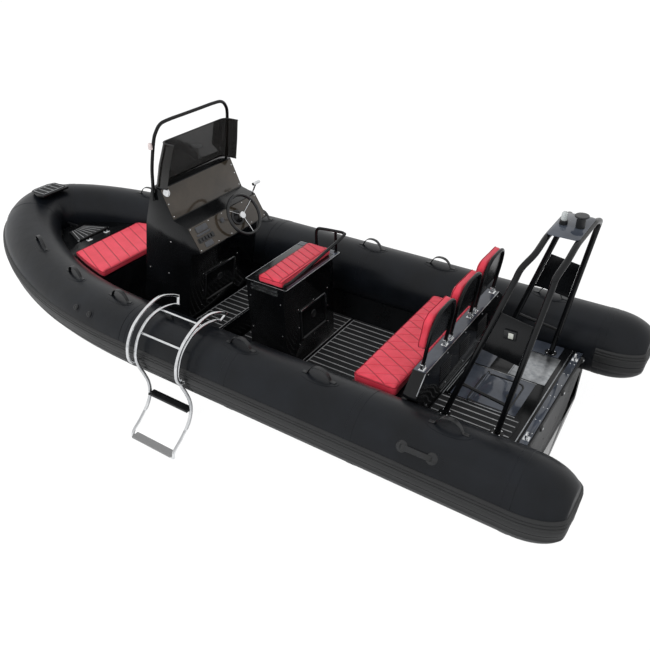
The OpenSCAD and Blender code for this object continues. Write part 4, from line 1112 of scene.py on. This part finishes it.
bm = bmesh.new()
for x0, x1 in ((553, 187), (200, 15)):
    half = [leg(x0, x1, 1, z) for z in (8, 409, 794, 1010)] + [leg(x0, x1, 1, 1099.5)]
    half += [(x1 + (x0 - x1) * 0.024, 305, deck_z + 1157), (x1, 183, deck_z + 1199), (x1, 113, deck_z + 1203),
             (x1, 30, deck_z + 1203)]
    tube(bm, half, 18.6, steps=5, sides=24)
for side in (-1, 1):
    rung = [leg(553, 187, side, 260), leg(200, 15, side, 215)]
    sweep(bm, circle(bm, 10.8, 18), frames(rung, (0, 0, 1)))
    for x in (553, 200):
        turned(bm, [(0, 8), (38, 8), (42, 5), (42, 0), (0, 0)], at(x, side * 504, deck_z), 36)
piece("arch_hoops", bm, black_paint, replaces=["arch_frame"])
bm = bmesh.new()
for x in (553, 200):
    for side in (-1, 1):
        foot = at(x, side * 504, deck_z + 7.5)
        bolts(bm, [foot @ at(31 * math.cos(a), 31 * math.sin(a), 0)
                   for a in (math.pi * (k / 2 + 0.25) for k in range(4))], 5.5)
piece("arch_foot_bolts", bm, steel)
piece("arch_side_panels", eased("arch_panels", 1.5), gloss, replaces=["arch_panels"])
top_low, top_high = corners("arch_plate")
bm = bmesh.new()
plate(bm, [rounded_box(top_high.x - top_low.x, top_high.y - top_low.y, 26, 5,
                       ((top_low.x + top_high.x) / 2, 0))], top_high.z - top_low.z, at(0, 0, top_low.z))
soften(bm, 1.2)
piece("arch_top_plate", bm, gloss_painted_sky_grey, replaces=["arch_plate"])
bm = bmesh.new()
lamp_spot = Vector(leg(376, 101, 1, 690)) + Vector((0, 4, 0))
block(bm, (-38, -4, -30), (38, 12, 30), at(*lamp_spot))
soften(bm, 4, 3)
piece("flood_lamp_case", bm, plastic)
bm = bmesh.new()
block(bm, (-22, 8, -18), (8, 14, 18), at(*lamp_spot))
soften(bm, 2, 2)
piece("flood_lamp_lens", bm, lens("white_lens", ("#d9dcd2", "#eef0e8")))
bm = bmesh.new()
lamp_place = at(150, 0, top_high.z)
turned(bm, [(0, 0), (24, 0), (24, 22), (21, 26), (0, 26)], lamp_place, 32)
piece("all_round_lamp_base", bm, plastic)
bm = bmesh.new()
post = at(55, 0, top_high.z)
turned(bm, [(0, 0), (26, 0), (26, 58), (29, 62), (38, 65), (41, 68), (41, 71), (38, 75), (0, 75.8)], post, 40)
piece("mushroom_tow_post", bm, plastic, replaces=["tow_post"])
bm = bmesh.new()
turned(bm, [(0, 25), (17.5, 25), (18, 30), (18, 60), (16, 68), (10, 75), (0, 77.8)], lamp_place, 32)
piece("all_round_lens", bm, lens("clear_lens", ("#c9cfcf", "#e6eaea")),
      replaces=["anchor_light"])


# ---- Boarding ladder --------------------------------------------------------------------
# Polished stainless tube bent over the port tube in twin hoops, with a treaded step half
# way down, a rubber-clad bottom bar and two pads that keep it off the fabric.
inner_rail = [(-180, 240), (-120, 278), (0, 300), (120, 278), (212, 216), (262, 148), (296, 50), (284, -40),
              (252, -130), (228, -222), (232, -310), (276, -400), (370, -482), (452, -540), (466, -590)]
outer_rail = [(-220, 292), (-150, 338), (-40, 376), (100, 352), (232, 282), (312, 178), (338, 70),
              (318, 8), (280, 0)]
ladder_x = 2470                 # middle of the ladder
half_widths = (210, 238)        # from there to the middle of its inner and outer rails
bm = bmesh.new()
for k in (-1, 1):
    for profile, reach in zip((inner_rail, outer_rail), half_widths):
        points = [(ladder_x + k * reach, AXIS_Y + out, AXIS_Z + up) for out, up in profile]
        tube(bm, points, 12.8, steps=5, mirror=False)
    for ends in (((-180, 240), (-220, 292)), ((280, 0), (280, 0))):
        a, b = ((ladder_x + k * reach, AXIS_Y + out, AXIS_Z + up)
                for reach, (out, up) in zip(half_widths, ends))
        sweep(bm, circle(bm, 12.5, 18), frames([a, b], (0.2, 0.3, 1)))
        turned(bm, [(0, 13), (9, 12), (13, 6), (13, -6), (9, -12), (0, -13)], at(*b), 20)
for radius, out, up in ((8.8, 0, 300), (8.8, 212, 216), (12.8, 466, -590)):
    path = [(x, AXIS_Y + out, AXIS_Z + up) for x in (ladder_x - 209, ladder_x + 209)]
    sweep(bm, circle(bm, radius, 18), frames(path, (0, 0, 1)))
piece("ladder_tubes", bm, steel, replaces=["boarding_ladder"])
bm = eased("ladder_treads", 3, 30)
for out, up in ((232, -300), (466, -567)):
    for row in (-20, -7, 7, 20):
        block(bm, (ladder_x - 178, AXIS_Y + out + row - 3, AXIS_Z + up - 1),
              (ladder_x + 178, AXIS_Y + out + row + 3, AXIS_Z + up + 1.5))
piece("ladder_rubbers", bm, rubber, replaces=["ladder_treads"])


# ---- Floor, light and camera ------------------------------------------------------------
# A level pale floor at the waterline, see-through enough that the ladder's foot still shows
# below it, under a white sky and two soft lamps. The boat floats, so z = 0 is its floor.
# Painted plywood: pale and matt, faintly clouded.
floor_finish = surface("pale_studio_floor", ("#e9eaeb", "#f1f1f2"), 900, (0.55, 0.65))
tree = floor_finish.node_tree
shader = tree.nodes["Principled BSDF"]
path = add(tree, "LightPath")
clear = add(tree, "BsdfTransparent", {"Color": (1, 1, 1, 1)})
share = add(tree, "MapRange", {"Value": path.outputs["Is Camera Ray"], "To Min": 0.0, "To Max": 0.86})
glow = add(tree, "MapRange", {"Value": path.outputs["Is Camera Ray"], "To Min": 0.0, "To Max": 0.75})
shader.inputs["Emission Color"].default_value = (1, 1, 1, 1)
tree.links.new(glow.outputs["Result"], shader.inputs["Emission Strength"])
blend = add(tree, "MixShader", {"Fac": share.outputs["Result"], 1: shader.outputs["BSDF"],
                                2: clear.outputs["BSDF"]})
tree.links.new(blend.outputs["Shader"], tree.nodes["Material Output"].inputs["Surface"])
bm = bmesh.new()
bmesh.ops.create_grid(bm, x_segments=1, y_segments=1, size=60)
bmesh.ops.translate(bm, vec=(2.4, 0, 0), verts=bm.verts)
mesh = bpy.data.meshes.new("studio_floor")
bm.to_mesh(mesh)
bm.free()
mesh.materials.append(floor_finish)
floor = bpy.data.objects.new("studio_floor", mesh)
bpy.context.scene.collection.objects.link(floor)

world = bpy.data.worlds.new("studio_sky")
world.use_nodes = True
tree = world.node_tree
sky = tree.nodes["Background"]
path = add(tree, "LightPath")
mirrored = add(tree, "Math", {0: path.outputs["Is Glossy Ray"], 1: path.outputs["Is Transmission Ray"]},
               operation="MAXIMUM")
seen = add(tree, "Math", {0: mirrored.outputs["Value"], 1: path.outputs["Is Camera Ray"]},
           operation="MAXIMUM")
level = add(tree, "MapRange", {"Value": seen.outputs["Value"], "To Min": 0.6, "To Max": 1.0})
tree.links.new(level.outputs["Result"], sky.inputs["Strength"])
sky.inputs["Color"].default_value = (1, 1, 1, 1)
bpy.context.scene.world = world
for name, spot, size, power in (("key_lamp", (1.5, 6.5, 6.0), 3.5, 330),
                                ("bow_lamp", (8.5, 1.0, 5.0), 3.5, 200)):
    data = bpy.data.lights.new(name, "AREA")
    data.size, data.energy = size, power
    lamp = bpy.data.objects.new(name, data)
    lamp.location, lamp.visible_glossy = spot, False
    lamp.rotation_euler = (Vector((2.4, 0, 0.4)) - Vector(spot)).to_track_quat("-Z", "Y").to_euler()
    bpy.context.scene.collection.objects.link(lamp)

# The fitted view: its axes to the right, up and back, and where it stands, in metres.
data = bpy.data.cameras.new("camera")
data.lens, data.sensor_width = 38.29, 36
data.shift_x, data.shift_y = 0.0046, -0.0052
camera = bpy.data.objects.new("camera", data)
axes = Matrix(((-0.82837, -0.55964, -0.02474), (0.28650, -0.46120, 0.83977), (-0.48138, 0.68855, 0.54238)))
camera.matrix_world = at(-0.769, 3.746, 3.373) @ axes.transposed().to_4x4()
bpy.context.scene.collection.objects.link(camera)
bpy.context.scene.camera = camera
bpy.context.scene.view_settings.view_transform = "Standard"
